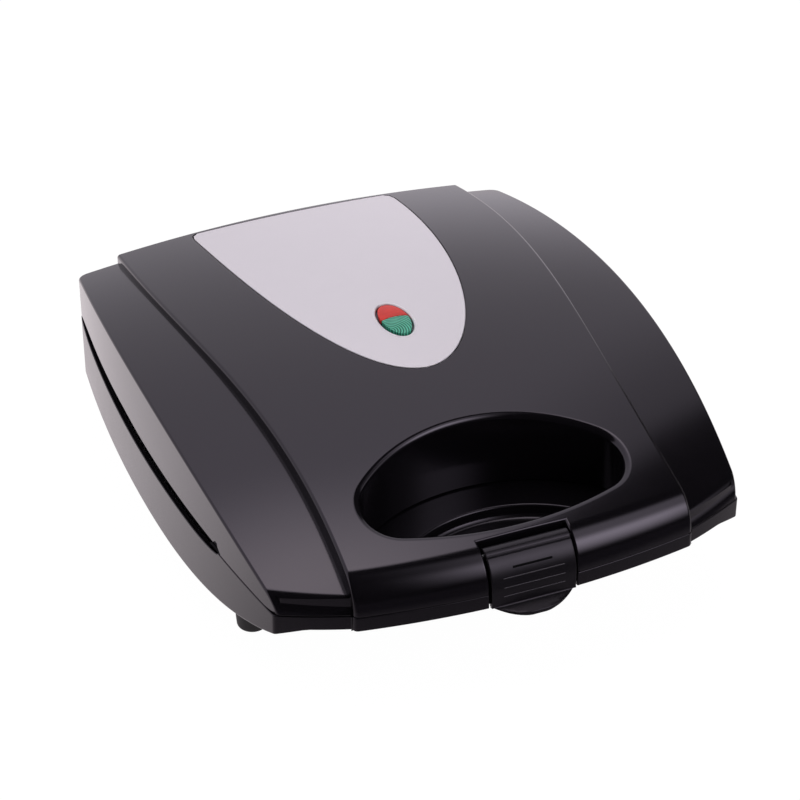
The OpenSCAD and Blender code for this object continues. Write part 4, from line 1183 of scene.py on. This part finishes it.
def turned(skin, profile, x, y, n=48):
    """An (r, z) outline turned about an upright axis."""
    run = np.gradient(profile, axis=0)
    side = unit(np.column_stack([run[:, 1], -run[:, 0]]))
    rows = []
    for h in np.linspace(0, 2 * math.pi, n, endpoint=False):
        c, s = math.cos(h), math.sin(h)
        points = np.column_stack([x + profile[:, 0] * c, y + profile[:, 0] * s, profile[:, 1]])
        rows.append((points, np.column_stack([side[:, 0] * c, side[:, 0] * s, side[:, 1]])))
    skin.rows(rows + rows[:1])


# ---- base ------------------------------------------------------------------

def meeting(curve, hw, start):
    """X where the plan curve y(x) meets the side x = hw(y)."""
    x = start
    for _ in range(40):
        x = float(hw(curve(x)))
    return x


def base_outline():
    """Plan outline of the base, anticlockwise from its left side."""
    deck_x = meeting(handle_y, deck_hw, 97.0)
    foot_x = meeting(shoulder_y, deck_hw, 97.0)
    side_x = meeting(shoulder_y, side_hw, 130.0)
    rear_x = meeting(rear_y, side_hw, 130.0)
    side_ys = np.union1d(np.linspace(shoulder_y(side_x), rear_y(rear_x), 90), slot_stations())
    def along(curve, x0, x1, n):
        xs = np.linspace(x0, x1, n)
        return np.column_stack([xs, curve(xs)])

    def across(hw, ys):
        return np.column_stack([hw(ys), ys])

    bay = handle_y(BAY_HW)
    right = [
        along(shoulder_y, foot_x, side_x, 12),
        across(side_hw, side_ys),
    ]
    deck_side = across(deck_hw, np.linspace(handle_y(deck_x), shoulder_y(foot_x), 6))
    mirror = np.array([-1, 1])
    runs = [
        (right[1] * mirror)[::-1],
        (right[0] * mirror)[::-1],
        (deck_side * mirror)[::-1],
        along(handle_y, -deck_x, -BAY_HW, 24),
        np.array([[-BAY_HW, bay], [-BAY_HW, CATCH_Y]]),
        spaced(np.array([[-BAY_HW, CATCH_Y], [BAY_HW, CATCH_Y]]), 4.0),
        np.array([[BAY_HW, CATCH_Y], [BAY_HW, bay]]),
        along(handle_y, BAY_HW, deck_x, 24),
        deck_side,
        *right,
        along(rear_y, rear_x, -rear_x, 60),
    ]
    return joined(runs, [3.0, 1.2, 3.0, 0.7, 0.5, 0.5, 0.7, 3.0, 1.2, 3.0, 8.0, 8.0])


def under_face(xy):
    """Points and normals of the base's underside."""
    y = xy[:, 1]
    step = 0.01
    slope = (under_z(y + step) - under_z(y - step)) / (2 * step)
    normal = np.column_stack([np.zeros(len(y)), slope, -np.ones(len(y))])
    return np.column_stack([xy, under_z(y)]), unit(normal)


def vent_outline(x, y, width, run):
    """Outline of a long slot from y on, and its outward normals."""
    half = width / 2
    corner = half * 0.95
    return rounded([(x - half, y, corner), (x + half, y, corner), (x + half, y + run, corner),
                    (x - half, y + run, corner)], 0.0, 4, 8.0)


def build_base(settings):
    """The base shell: underside, walls, level front with its well and the hinge's ears."""
    skin = Skin()
    seam = settings.seam_edge / MM
    outline = base_outline()
    out = plan_normals(outline)
    away = level(out)
    # underside with its vents; its edge is sharper in front and rounder at the rear
    rear = np.clip((out[:, 1] - 0.3) / 0.6, 0, 1)
    front = np.clip((-outline[:, 1] - 120) / 40, 0, 1)
    r = 1.8 - 1.2 * front + 4.5 * rear
    low_xy = outline - r[:, None] * out
    low, low_n = under_face(low_xy)
    arcs = edge_arc(low, low_n, away, r, 5)
    skin.rows(arcs, True)
    pitch, start, width, run = 12.0, 20.0, 4.0, 46.0
    vents = [vent_outline(pitch * i, start, width, run) for i in range(-4, 5)]
    skin.cover(under_face, low_xy, [v[0] for v in vents], 9.0)
    for vent_xy, vent_out in vents:
        p, n = under_face(vent_xy)
        skin.rows([(p, level(-vent_out)), (p + [0, 0, WALL], level(-vent_out))], True)
    # wall and upper edge with the side slots
    foot = arcs[-1][0]
    side = (np.abs(out[:, 0]) > 0.7) & (np.abs(outline[:, 0]) > BODY_HW - 40)
    top_z = BASE_Z - seam - np.where(side, slot_edge(outline[:, 1], *SLOT_SINK), 0)
    head = np.column_stack([outline, top_z])
    mid = foot * 0.75 + head * 0.25
    skin.rows([(foot, away), (mid, away), (head, away)], True)
    start = int(np.argmin(np.where(outline[:, 0] < 0, np.abs(outline[:, 1] - DECK_END), 1e9)))
    turn = np.roll(np.arange(len(outline)), -start)
    end = int(np.argmin(np.where(outline[turn, 0] > 0, np.abs(outline[turn, 1] - DECK_END), 1e9)))
    fore, aft = turn[:end + 1], np.append(turn[end:], turn[0])
    hem(skin, head[aft], away[aft], seam, up=True, lift=16.0)
    arcs = edge_arc(head[fore], away[fore], facing(0, 0, 1, fore), seam, 3)
    skin.rows(arcs)
    # level front under the hand opening, with the finger well
    brim = arcs[-1][0][:, :2]
    centre_y = WELL_APEX - WELL_R
    half = math.acos((WELL_FRONT - centre_y) / WELL_R)
    h = np.linspace(math.pi / 2 - half, math.pi / 2 + half, 60)
    bow = on_circle((0, centre_y), WELL_R, h)
    chord = spaced(np.array([bow[-1], bow[0]]), 4.0)
    well = joined([bow, chord], [6.0, 6.0], 8)
    well_out = plan_normals(well)
    rim, lean, floor_r = 1.6, 0.6, 3.0
    skin.cover(plane(BASE_Z, 1), brim, [well + rim * well_out], 9.0)
    bowl(skin, well, well_out, BASE_Z, 1.0, rim, WELL_DEPTH, lean, floor_r)
    # wall across the base behind the level front
    drop_h = 26
    back = np.array([[brim[0][0] + WALL, DECK_END, BASE_Z],
                     [brim[-1][0] - WALL, DECK_END, BASE_Z]])
    face = facing(0, 1, 0, back)
    skin.rows([(back, face), (back - [0, 0, drop_h], face)])
    for x in (-HINGE_X, HINGE_X):
        for k in (-1, 1):
            middle = x + k * ((KNUCKLE_W + EAR_W) / 2 + EAR_GAP)
            x_prism(skin, ear_profile(False), middle - EAR_W / 2, middle + EAR_W / 2, EAR_EDGE)
    return skin.build("base_shell", base_satin())


def ear_profile(up):
    """Side outline of a hinge knuckle with its root, anticlockwise in (y, z)."""
    root_y, root_h, tip = REAR - WALL, 17.0, 0.3
    if up:
        corners = [(root_y, LID_Z + tip, 0.5), (HINGE_Y - 5.5, LID_Z + tip, 0.5),
                   (HINGE_Y - 3.5, HINGE_Z - KNUCKLE_R, 2.5),
                   (HINGE_Y + KNUCKLE_R - 0.2, HINGE_Z - KNUCKLE_R, KNUCKLE_R - 0.1),
                   (HINGE_Y + KNUCKLE_R - 0.4, HINGE_Z + 4, 3.0), (root_y, HINGE_Z + root_h, 0.5)]
    else:
        corners = [(root_y, HINGE_Z - root_h, 0.5),
                   (HINGE_Y + KNUCKLE_R - 0.4, HINGE_Z - 4, 3.0),
                   (HINGE_Y + KNUCKLE_R - 0.2, HINGE_Z + KNUCKLE_R, KNUCKLE_R - 0.1),
                   (HINGE_Y - 3.5, HINGE_Z + KNUCKLE_R, 2.5),
                   (HINGE_Y - 5.5, BASE_Z - tip, 0.5), (root_y, BASE_Z - tip, 0.5)]
    return rounded(corners, 0.0, 6, 3.0)[0]


def build_feet(places, name):
    """Round feet that reach up to the sweeping underside."""
    skin = Skin()
    for x, y in places:
        top = float(under_z(y - FOOT_R)) + 4
        shoulder = float(under_z(y + FOOT_R))
        h = np.radians(np.linspace(-90, -8, 7))
        edge = on_circle((5.9, 2.5), 2.5, h)
        profile = np.vstack([[[0.01, 0.0], [3.0, 0.0]], edge,
                             [[9.5, shoulder - 0.6], [9.9, shoulder], [FOOT_R, top]]])
        turned(skin, profile, x, y)
    return skin.build(name, foot_rubber())


# ---- trim, lenses and clip -------------------------------------------------

def oval(hw, hl, start=0.0, turn=360.0, n=72):
    """Plan points of the window's oval or a part of it, from a start angle in degrees."""
    h = np.radians(np.linspace(start, start + turn, n, endpoint=turn < 360))
    return np.column_stack([hw * np.cos(h), LENS_Y + hl * np.sin(h)])


def build_trim():
    """Satin plate let into the lid, with the window's mouth in it."""
    skin = Skin()
    edge, mouth, flange = 0.45, 0.8, 2.0
    outline = trim_outline(-edge)
    hole = oval(LENS_HW + mouth, LENS_HL + mouth)
    skin.cover(lambda xy: DECK.at(xy, -TRIM_PROUD), outline, [hole], 5.0)
    for loop, sense, r in ((outline, 1.0, edge), (hole, -1.0, mouth)):
        p, n = DECK.at(loop, -TRIM_PROUD)
        out = level(plan_normals(loop)) * sense
        arcs = edge_arc(p, n, out, r, 5)
        skin.rows(arcs, True)
        foot = arcs[-1][0] - [0, 0, TRIM_T + TRIM_PROUD - r]
        skin.rows([arcs[-1], (foot, out)], True)
        inner = foot - flange * out
        down = facing(0, 0, -1, foot)
        skin.rows([(foot, down), (inner, down)], True)
    return skin.build("trim_plate_shell", trim_silver())


def build_lens(name, start, ribbed, material):
    """Half of the domed oval window; the ribbed half carries fine arched ribs."""
    skin = Skin()
    dome, proud, edge, gap, depth = 120.0, 1.2, 0.3, 0.15, 3.6
    # the line between the halves bows towards the back, most in the middle
    divider_bow = 1.3
    hw, hl = LENS_HW - 1 - gap - edge, LENS_HL - 1 - gap - edge
    arc = oval(hw, hl, start, 180.0)
    sense = 1.0 if start == 0 else -1.0
    arc[:, 1] += sense * (gap + edge) * (np.abs(arc[:, 1] - LENS_Y) < gap + edge)
    divider = spaced(np.array([arc[-1], arc[0]]), 1.0)[1:-1]
    divider[:, 1] += divider_bow * (1 - (divider[:, 0] / hw) ** 2)
    outline = np.vstack([arc, divider])
    relief, wave = 0.05, 2 * math.pi / LENS_PITCH

    def face(xy):
        x, y = xy[:, 0], xy[:, 1] - LENS_Y
        root = np.sqrt(dome ** 2 - x ** 2 - y ** 2)
        z = CREST_Z + proud - dome + root
        n = np.column_stack([x, y, root]) / dome
        if ribbed:
            u, v = x - LENS_RINGS[0], y - LENS_RINGS[1]
            away = np.hypot(u, v)
            z = z + relief * np.sin(wave * away)
            slope = relief * wave * np.cos(wave * away) / away
            n = n - np.column_stack([slope * u, slope * v, np.zeros(len(x))])
        return np.column_stack([xy, z]), unit(n)

    skin.cover(face, outline, [], 0.3 if ribbed else 1.5)
    p, n = face(outline)
    out = level(plan_normals(outline))
    arcs = edge_arc(p, n, out, edge, 4)
    skin.rows(arcs, True)
    skin.rows([arcs[-1], (with_z(arcs[-1][0], CREST_Z - depth), out)], True)
    return skin.build(name, material)


def build_window_ring():
    """Bright ring round the window: a fine wire that follows its oval."""
    wire, flatness, out = 0.0006, 0.35, 1.2
    pattern = Pattern("window_ring", {"Half width": ("Float", (LENS_HW + out) * MM),
                                      "Half length": ("Float", (LENS_HL + out) * MM),
                                      "Wire": ("Float", wire)})
    given = pattern.inputs
    circle = pattern.node("CurvePrimitiveCircle", Resolution=96, Radius=1.0)
    size = pattern.node("CombineXYZ", X=given["Half width"], Y=given["Half length"], Z=1.0)
    oval_path = pattern.node("Transform", Geometry=circle.outputs["Curve"],
                             Scale=size.outputs[0])
    section = pattern.node("CurvePrimitiveCircle", Resolution=10, Radius=given["Wire"])
    tube = pattern.node("CurveToMesh", Curve=oval_path.outputs[0],
                        Profile_Curve=section.outputs["Curve"])
    mesh = pattern.mesh(tube.outputs[0], finish("window ring", colour(0.97, 0.96, 0.97), 0.35,
                                                shade=0.02))
    for vertex in mesh.vertices:
        x, y = vertex.co.x / MM, vertex.co.y / MM + LENS_Y
        height = DECK.at(np.array([[x, y]]), -TRIM_PROUD / 2)[0][0, 2]
        vertex.co = (x * MM, y * MM, flatness * vertex.co.z + height * MM)
    return shown("window_ring", smooth(mesh))


def build_clip_ribs(settings):
    """Fine ribs across the clip's face, laid out on a line and bent round the roll.

    The first rib is FIRST_RIB above the height of the roll's centre, along the face.
    """
    pattern = Pattern("clip_ribs", {"Count": ("Int", settings.ribs),
                                    "Pitch": ("Float", settings.rib_pitch),
                                    "Length": ("Float", settings.rib_length),
                                    "Radius": ("Float", settings.rib_radius)})
    given = pattern.inputs
    down = pattern.node("CombineXYZ", X=0.0, Y=0.0, Z=given["Pitch"] * -1.0)
    line = pattern.node("MeshLine", Count=given["Count"], Offset=down.outputs[0])
    half = given["Length"] * 0.5
    left = pattern.node("CombineXYZ", X=half * -1.0, Y=0.0, Z=0.0)
    right = pattern.node("CombineXYZ", X=half, Y=0.0, Z=0.0)
    bar = pattern.node("CurvePrimitiveLine", Start=left.outputs[0], End=right.outputs[0])
    section = pattern.node("CurvePrimitiveCircle", Resolution=10, Radius=given["Radius"])
    rod = pattern.node("CurveToMesh", Curve=bar.outputs[0],
                       Profile_Curve=section.outputs["Curve"], Fill_Caps=True)
    copies = pattern.node("InstanceOnPoints", Points=line.outputs[0], Instance=rod.outputs[0])
    mesh = pattern.mesh(copies.outputs[0], finish("rib satin black", colour(0.05, 0.047, 0.051),
                                                  0.35, shade=0.1, sheen=LILAC_SHEEN))
    y, z = ROLL_CENTRE
    for vertex in mesh.vertices:
        run, proud = vertex.co.z / MM + FIRST_RIB, -vertex.co.y / MM
        r = CLIP_R + proud
        if run > 0:
            place = (y - r * math.cos(run / CLIP_R), z + r * math.sin(run / CLIP_R))
        else:
            place = (y - r, z + run)
        vertex.co = (vertex.co.x, place[0] * MM, place[1] * MM)
    return shown("clip_ribs", smooth(mesh))


def build_clip_slot():
    """Painted shade of a short slot above the ribs: a thin black inlay that follows the clip's
    curve.
    """
    skin = Skin()
    angle, half_w, half_l, crown, depth = math.radians(149.5), 0.6, 11.0, 0.12, 0.5
    arc = np.linspace(angle - half_w / CLIP_R, angle + half_w / CLIP_R, 7)
    proud = crown * np.cos(np.linspace(-math.pi / 2, math.pi / 2, 7))
    face = on_circle(ROLL_CENTRE, CLIP_R + proud, arc)
    back = on_circle(ROLL_CENTRE, CLIP_R - depth, arc[::-1])
    x_prism(skin, np.vstack([face, back]), -half_l, half_l, 0.1)
    # its black is painted shade that stands in for the slot's shaded inside
    return skin.build("clip_slot", finish("painted slot shade", colour(0.0015, 0.0015, 0.002), 0.7,
                                          shade=0.1, ior=1.2))


def build_clip(settings):
    """Clip bent round the handle, with a groove near its top and a thumb lip below."""
    skin = Skin()
    inner = CLIP_R - CLIP_T
    front, back = ROLL_CENTRE[0] - CLIP_R, ROLL_CENTRE[0] - inner
    top, groove, half, groove_depth = math.radians(120.5), math.radians(131), 0.022, 0.7
    steps = groove + half * np.array([-1.3, -1, -0.8, 0.8, 1, 1.3])
    arc = np.union1d(np.linspace(top, math.pi, 18), steps)
    arc = arc[(np.abs(arc - groove) > 1.35 * half) | np.isin(arc, steps)]
    sunk = groove_depth * np.clip((half - np.abs(arc - groove)) / (0.2 * half), 0, 1)
    shell = on_circle(ROLL_CENTRE, CLIP_R - sunk, arc)
    lip_y, lip_t, root = front - 7.1, 2.4, CLIP_END + 9.5
    face = spaced(np.vstack([shell[-1:], [[front, root]]]), 3.0)
    lip = rounded([(front, CLIP_END + 12, 0.5), (front, CLIP_END + 5, 1.2),
                   (lip_y, CLIP_END + lip_t, 0.9), (lip_y, CLIP_END, 0.8),
                   (back, CLIP_END, 0.8), (back, CLIP_END + 12, 0.5)], 0.0, 5, 3.0)[0]
    low = lip[lip[:, 1] < root - 0.1]
    # the inner face ends three points early, where the barrel takes over
    inner_face = on_circle(ROLL_CENTRE, inner, arc[::-1])[:-3]
    profile = np.vstack([shell, face[1:], low, inner_face])
    bow_r, corner_rise = 34.0, 4.6

    def bend(points, normals):
        """Bows the lip's edge in the plan and raises the clip's lower corners."""
        x = np.clip(np.abs(points[:, 0]), 0, bow_r - 1)
        limit = lip_y + bow_r - np.sqrt(bow_r ** 2 - x ** 2)
        held = (points[:, 1] < limit) & (points[:, 2] < CLIP_END + 4.9)
        moved, tilted = points.copy(), normals.copy()
        lowest = CLIP_END + corner_rise * (x / (CLIP_W / 2)) ** 2
        moved[:, 2] = np.maximum(points[:, 2], lowest)
        moved[held, 1] = limit[held]
        tilted[held, 0] = (points[:, 0] / bow_r * np.abs(normals[:, 1]))[held]
        return moved, unit(tilted)

    x_prism(skin, profile, -CLIP_W / 2, CLIP_W / 2, settings.edge / MM, 24, bend)
    pivot = on_circle(ROLL_CENTRE, PIVOT_REACH, [PIVOT])
    barrel = on_circle(pivot, BARREL_R, np.radians(np.linspace(0, 360, 32, endpoint=False)))
    x_prism(skin, barrel, -CLIP_W / 2, CLIP_W / 2, settings.edge / MM)
    return skin.build("clip_shell", clip_satin())


# ---- hot plates ------------------------------------------------------------

def build_hot_plate(settings, upper):
    """Cast plate with eight sandwich pockets; the upper one faces down."""
    skin = Skin()
    sense, z = (-1.0, LID_Z) if upper else (1.0, BASE_Z)
    edge, skirt_h, sink_h = 0.8, 3.5, 3.3
    front_x = float(side_hw(PLATE_FRONT)) - PLATE_INSET
    rear_x = float(side_hw(PLATE_REAR)) - PLATE_INSET
    ys = np.linspace(PLATE_FRONT, PLATE_REAR, 60)
    side = np.column_stack([side_hw(ys) - PLATE_INSET, ys])
    front = spaced(np.array([[-front_x, PLATE_FRONT], [front_x, PLATE_FRONT]]), 6.0)
    back = spaced(np.array([[rear_x, PLATE_REAR], [-rear_x, PLATE_REAR]]), 6.0)
    outline = joined([front, side, back, (side * [-1, 1])[::-1]], [6.0, 6.0, 6.0, 6.0])
    out = plan_normals(outline)
    field_x, field_y = rear_x - 7, PLATE_HD - 7
    rim, inner = settings.rim / MM, (LAND_W - RIDGE_W) / 2
    pockets = []
    for sx in (-1, 1):
        for sy in (-1, 1):
            for tri in (((inner, inner), (field_x, inner), (field_x, field_y)),
                        ((inner, inner), (field_x, field_y), (inner, field_y))):
                corners = [(sx * x, PLATE_MID + sy * y, 14) for x, y in tri]
                if sx * sy < 0:
                    corners = corners[::-1]
                pockets.append(rounded(corners, -RIDGE_W / 2, 8, 5.0))
    holes = [xy + rim * o for xy, o in pockets]
    sink = 2 * SCREW_R + 0.3
    bosses = [(0, PLATE_MID - field_y * 0.55), (0, PLATE_MID + field_y * 0.55),
              (-rear_x / 2, PLATE_MID), (rear_x / 2, PLATE_MID)]
    circle = around(np.radians(np.linspace(0, 360, 28, endpoint=False)))
    sinks = [np.array(b) + sink * circle for b in bosses]
    top = outline - edge * out
    skin.cover(plane(z, sense), top, holes + sinks, 9.0)
    for xy, o in pockets:
        bowl(skin, xy, o, z, sense, rim, POCKET_D, settings.draft / MM,
             settings.floor_radius / MM, PLATE_T)
    for loop in sinks:
        p = level(loop, z)
        inward = level(-circle)
        skin.rows([(p, inward), (p - [0, 0, sense * sink_h], inward)], True)
    arcs = edge_arc(level(top, z), facing(0, 0, sense, top), level(out), edge, 3)
    skin.rows(arcs, True)
    foot = with_z(arcs[-1][0], z - sense * skirt_h)
    skin.rows([arcs[-1], (foot, level(out))], True)
    skin.cover(plane(z - sense * skirt_h, -sense), outline, holes, 14.0)
    name = "upper_plate_casting" if upper else "lower_plate_casting"
    return skin.build(name, plate_coating())


# ---- stage -----------------------------------------------------------------

def build_camera(settings):
    """The photograph's camera, aimed at the height of the joint between base and lid."""
    a, e, r = (math.radians(v) for v in (settings.azimuth, settings.elevation, settings.roll))
    back = Vector((math.sin(a) * math.cos(e), -math.cos(a) * math.cos(e), math.sin(e)))
    right = Vector((math.cos(a), math.sin(a), 0))
    up = back.cross(right)
    x = math.cos(r) * right + math.sin(r) * up
    y = math.cos(r) * up - math.sin(r) * right
    aim = Vector((0, 0, PART_Z * MM)) + settings.aim[0] * x + settings.aim[1] * y
    data = bpy.data.cameras.new("camera")
    camera = bpy.data.objects.new("camera", data)
    bpy.context.scene.collection.objects.link(camera)
    place = Matrix((x, y, back)).transposed().to_4x4()
    place.translation = aim + settings.distance * back
    camera.matrix_world = place
    data.lens = settings.lens
    data.sensor_width = 36
    data.clip_end = 20
    bpy.context.scene.camera = camera


def build_sky():
    """Soft studio: a pale room behind, a warm lamp overhead on the left, a strip in front.

    The room ends in a crisp edge overhead, and what is in front of it stays dark apart
    from the strip on the right.
    """
    world = bpy.data.worlds.new("studio")
    bpy.context.scene.world = world
    shader = Shader(world)
    way = shader.node("SeparateXYZ", Vector=shader.node("TexCoord").outputs["Generated"])
    x, y, z = (shader.value(way, i) for i in range(3))
    lean = z.angle_over(y * -1.0) * (180 / math.pi)
    # pale room behind and its edge overhead
    past_edge = y - (x.most(0.18) - 0.18) * 1.05 + 0.01
    behind = past_edge.ramp(-0.03, 0.04)
    glow = (1 - z.ramp(0.1, 0.5)) * x.ramp(0.2, 0.38) * 0.4
    room = behind * (0.8 + glow)
    room = room * (1 - x.ramp(0.3, 0.45) * (1 - past_edge.ramp(0.05, 0.35)) * 0.4)
    # warm lamp and the soft light round it
    off_x, off_y = x - 0.12, (y - 0.14) / 1.2
    away = (off_x * off_x + off_y * off_y).root()
    lamp = (1 - away.ramp(0.0, 0.3)) * behind * z.above(0.0)
    skirt = (1 - away.ramp(0.1, 0.7)) * behind * z.above(0.0)
    # strip in front, brightest in its lower part
    core = lean.ramp(5, 33) * (1 - lean.ramp(38, 58))
    plateau = lean.ramp(25, 45) * (1 - lean.ramp(68, 80))
    strip = (core * 3.0 + plateau * 1.2) * x.ramp(0.05, 0.45) * (1 - x.ramp(0.58, 0.8) * 0.8)
    tint = shader.mix(lamp, colour(1.0, 0.95, 1.03), colour(1.05, 0.98, 0.99))
    strength = room + lamp * 1.8 + skirt * 0.4 + strip + 0.02
    path = shader.node("LightPath")
    lit = shader.node("Background", Color=tint, Strength=strength)
    white = shader.node("Background", Color=colour(1, 1, 1), Strength=1.0)
    both = shader.node("MixShader", _0=path.outputs["Is Camera Ray"], _1=lit.outputs[0],
                       _2=white.outputs[0])
    shader.node("OutputWorld", Surface=both.outputs[0])


def build_floor():
    """Pale table top that keeps the toaster's shadow; to reflections it glows with a painted
    reflection, dark in front and bright behind.
    """
    material = bpy.data.materials.new("pale floor")
    shader = Shader(material)
    place = shader.node("SeparateXYZ", Vector=shader.node("TexCoord").outputs["Object"])
    y = shader.value(place, 1)
    # painted reflection: glossy rays see the floor dark near the front and brighter than white
    # behind
    near = 1 - y.ramp(-0.33, 0.1)
    tone = shader.mix(near, colour(1.15, 1.06, 1.1), colour(0.06, 0.055, 0.065))
    plain = shader.node("BsdfDiffuse", Color=colour(0.9, 0.9, 0.9))
    white = shader.node("Emission", Color=colour(1, 1, 1), Strength=1.04)
    seen = shader.node("MixShader", _0=0.95, _1=plain.outputs[0], _2=white.outputs[0])
    # the floor glows with this painted reflection for glossy rays only
    mirror = shader.node("Emission", Color=tone, Strength=1.0)
    path = shader.node("LightPath")
    first = shader.node("MixShader", _0=path.outputs["Is Glossy Ray"], _1=plain.outputs[0],
                        _2=mirror.outputs[0])
    both = shader.node("MixShader", _0=path.outputs["Is Camera Ray"], _1=first.outputs[0],
                       _2=seen.outputs[0])
    shader.node("OutputMaterial", Surface=both.outputs[0])
    mesh = bpy.data.meshes.new("floor")
    reach = 4.0
    mesh.from_pydata([(-reach, -reach, 0), (reach, -reach, 0), (reach, reach, 0),
                      (-reach, reach, 0)], [], [(0, 1, 2, 3)])
    mesh.materials.append(material)
    floor = shown("floor", mesh)


# ---- operators -------------------------------------------------------------

class TOASTER_OT_finishes(bpy.types.Operator):
    """Give every CAD node its own finish"""
    bl_idname = "toaster.finishes"
    bl_label = "Finish the inner parts"

    def execute(self, context):
        for name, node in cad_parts.items():
            node.data.materials.clear()
            node.data.materials.append(cad_finish(name))
        return {"FINISHED"}


class TOASTER_OT_lid(bpy.types.Operator):
    """Make the glossy lid shell with its handle"""
    bl_idname = "toaster.lid"
    bl_label = "Make the lid"

    def execute(self, context):
        lid = build_lid(context.scene.toaster_lid)
        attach(lid, "lid")
        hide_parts("upper_housing")
        return {"FINISHED"}


class TOASTER_OT_base(bpy.types.Operator):
    """Make the satin base shell"""
    bl_idname = "toaster.base"
    bl_label = "Make the base"

    def execute(self, context):
        base = build_base(context.scene.toaster_lid)
        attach(base, "base")
        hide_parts("lower_housing")
        return {"FINISHED"}


class TOASTER_OT_feet(bpy.types.Operator):
    """Make the four rubber feet"""
    bl_idname = "toaster.feet"
    bl_label = "Make the feet"

    def execute(self, context):
        for places, name, node in ((FOOT_PLACES[:2], "front_foot_pair", "front_feet"),
                                   (FOOT_PLACES[2:], "rear_foot_pair", "rear_feet")):
            feet = build_feet(places, name)
            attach(feet, "base")
            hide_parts(node)
        return {"FINISHED"}


class TOASTER_OT_trim(bpy.types.Operator):
    """Make the inlaid plate and its two-part window"""
    bl_idname = "toaster.trim"
    bl_label = "Make the inlay"

    def execute(self, context):
        trim = build_trim()
        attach(trim, "lid")
        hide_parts("trim_plate")
        ring = build_window_ring()
        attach(ring, "lid")
        for name, start, ribbed in (("lens_red", 0.0, False), ("lens_green", 180.0, True)):
            lens = build_lens(name + "_window", start, ribbed, cad_finish(name))
            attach(lens, "lid")
            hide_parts(name)
        return {"FINISHED"}


class TOASTER_OT_clip(bpy.types.Operator):
    """Make the clip that keeps the lid shut"""
    bl_idname = "toaster.clip"
    bl_label = "Make the clip"

    def execute(self, context):
        settings = context.scene.toaster_clip
        clip = build_clip(settings)
        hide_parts("latch_clip")
        for piece in (clip, build_clip_ribs(settings), build_clip_slot()):
            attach(piece, "clip")
        return {"FINISHED"}


class TOASTER_OT_plates(bpy.types.Operator):
    """Make the two cast plates"""
    bl_idname = "toaster.plates"
    bl_label = "Make the hot plates"

    def execute(self, context):
        for upper, node, body in ((False, "lower_heating_plate", "base"),
                                  (True, "upper_heating_plate", "lid")):
            plate = build_hot_plate(context.scene.toaster_plates, upper)
            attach(plate, body)
            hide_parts(node)
        return {"FINISHED"}


class TOASTER_OT_stage(bpy.types.Operator):
    """Set up the camera, the floor and the light"""
    bl_idname = "toaster.stage"
    bl_label = "Set the stage"

    def execute(self, context):
        build_camera(context.scene.toaster_stage)
        build_sky()
        build_floor()
        context.scene.view_settings.view_transform = "Standard"
        return {"FINISHED"}


class TOASTER_PT_panel(bpy.types.Panel):
    """Buttons and settings of the toaster"""
    bl_label = "Sandwich Toaster"
    bl_idname = "TOASTER_PT_panel"
    bl_space_type = "VIEW_3D"
    bl_region_type = "UI"
    bl_category = "Toaster"

    def draw(self, context):
        for group in SETTINGS:
            settings = getattr(context.scene, group)
            box = self.layout.box()
            for name in settings.__annotations__:
                box.prop(settings, name)
        for operator in PIECES:
            self.layout.operator(operator.bl_idname)


SETTINGS = {
    "toaster_colours": ToasterColourSettings,
    "toaster_lid": ToasterLidSettings,
    "toaster_clip": ToasterClipSettings,
    "toaster_plates": ToasterPlateSettings,
    "toaster_stage": ToasterStageSettings,
}
PIECES = (
    TOASTER_OT_finishes,
    TOASTER_OT_lid,
    TOASTER_OT_base,
    TOASTER_OT_feet,
    TOASTER_OT_trim,
    TOASTER_OT_clip,
    TOASTER_OT_plates,
    TOASTER_OT_stage,
)


def register():
    for settings in SETTINGS.values():
        bpy.utils.register_class(settings)
    for name, settings in SETTINGS.items():
        setattr(bpy.types.Scene, name, PointerProperty(type=settings))
    for operator in PIECES:
        bpy.utils.register_class(operator)
    bpy.utils.register_class(TOASTER_PT_panel)


def unregister():
    bpy.utils.unregister_class(TOASTER_PT_panel)
    for operator in reversed(PIECES):
        bpy.utils.unregister_class(operator)
    for name in SETTINGS:
        delattr(bpy.types.Scene, name)
    for settings in SETTINGS.values():
        bpy.utils.unregister_class(settings)


def main():
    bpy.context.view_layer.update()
    register()
    bpy.ops.toaster.finishes()
    bpy.ops.toaster.lid()
    bpy.ops.toaster.base()
    bpy.ops.toaster.feet()
    bpy.ops.toaster.trim()
    bpy.ops.toaster.clip()
    bpy.ops.toaster.plates()
    bpy.ops.toaster.stage()
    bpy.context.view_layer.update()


if __name__ == "__main__":
    main()
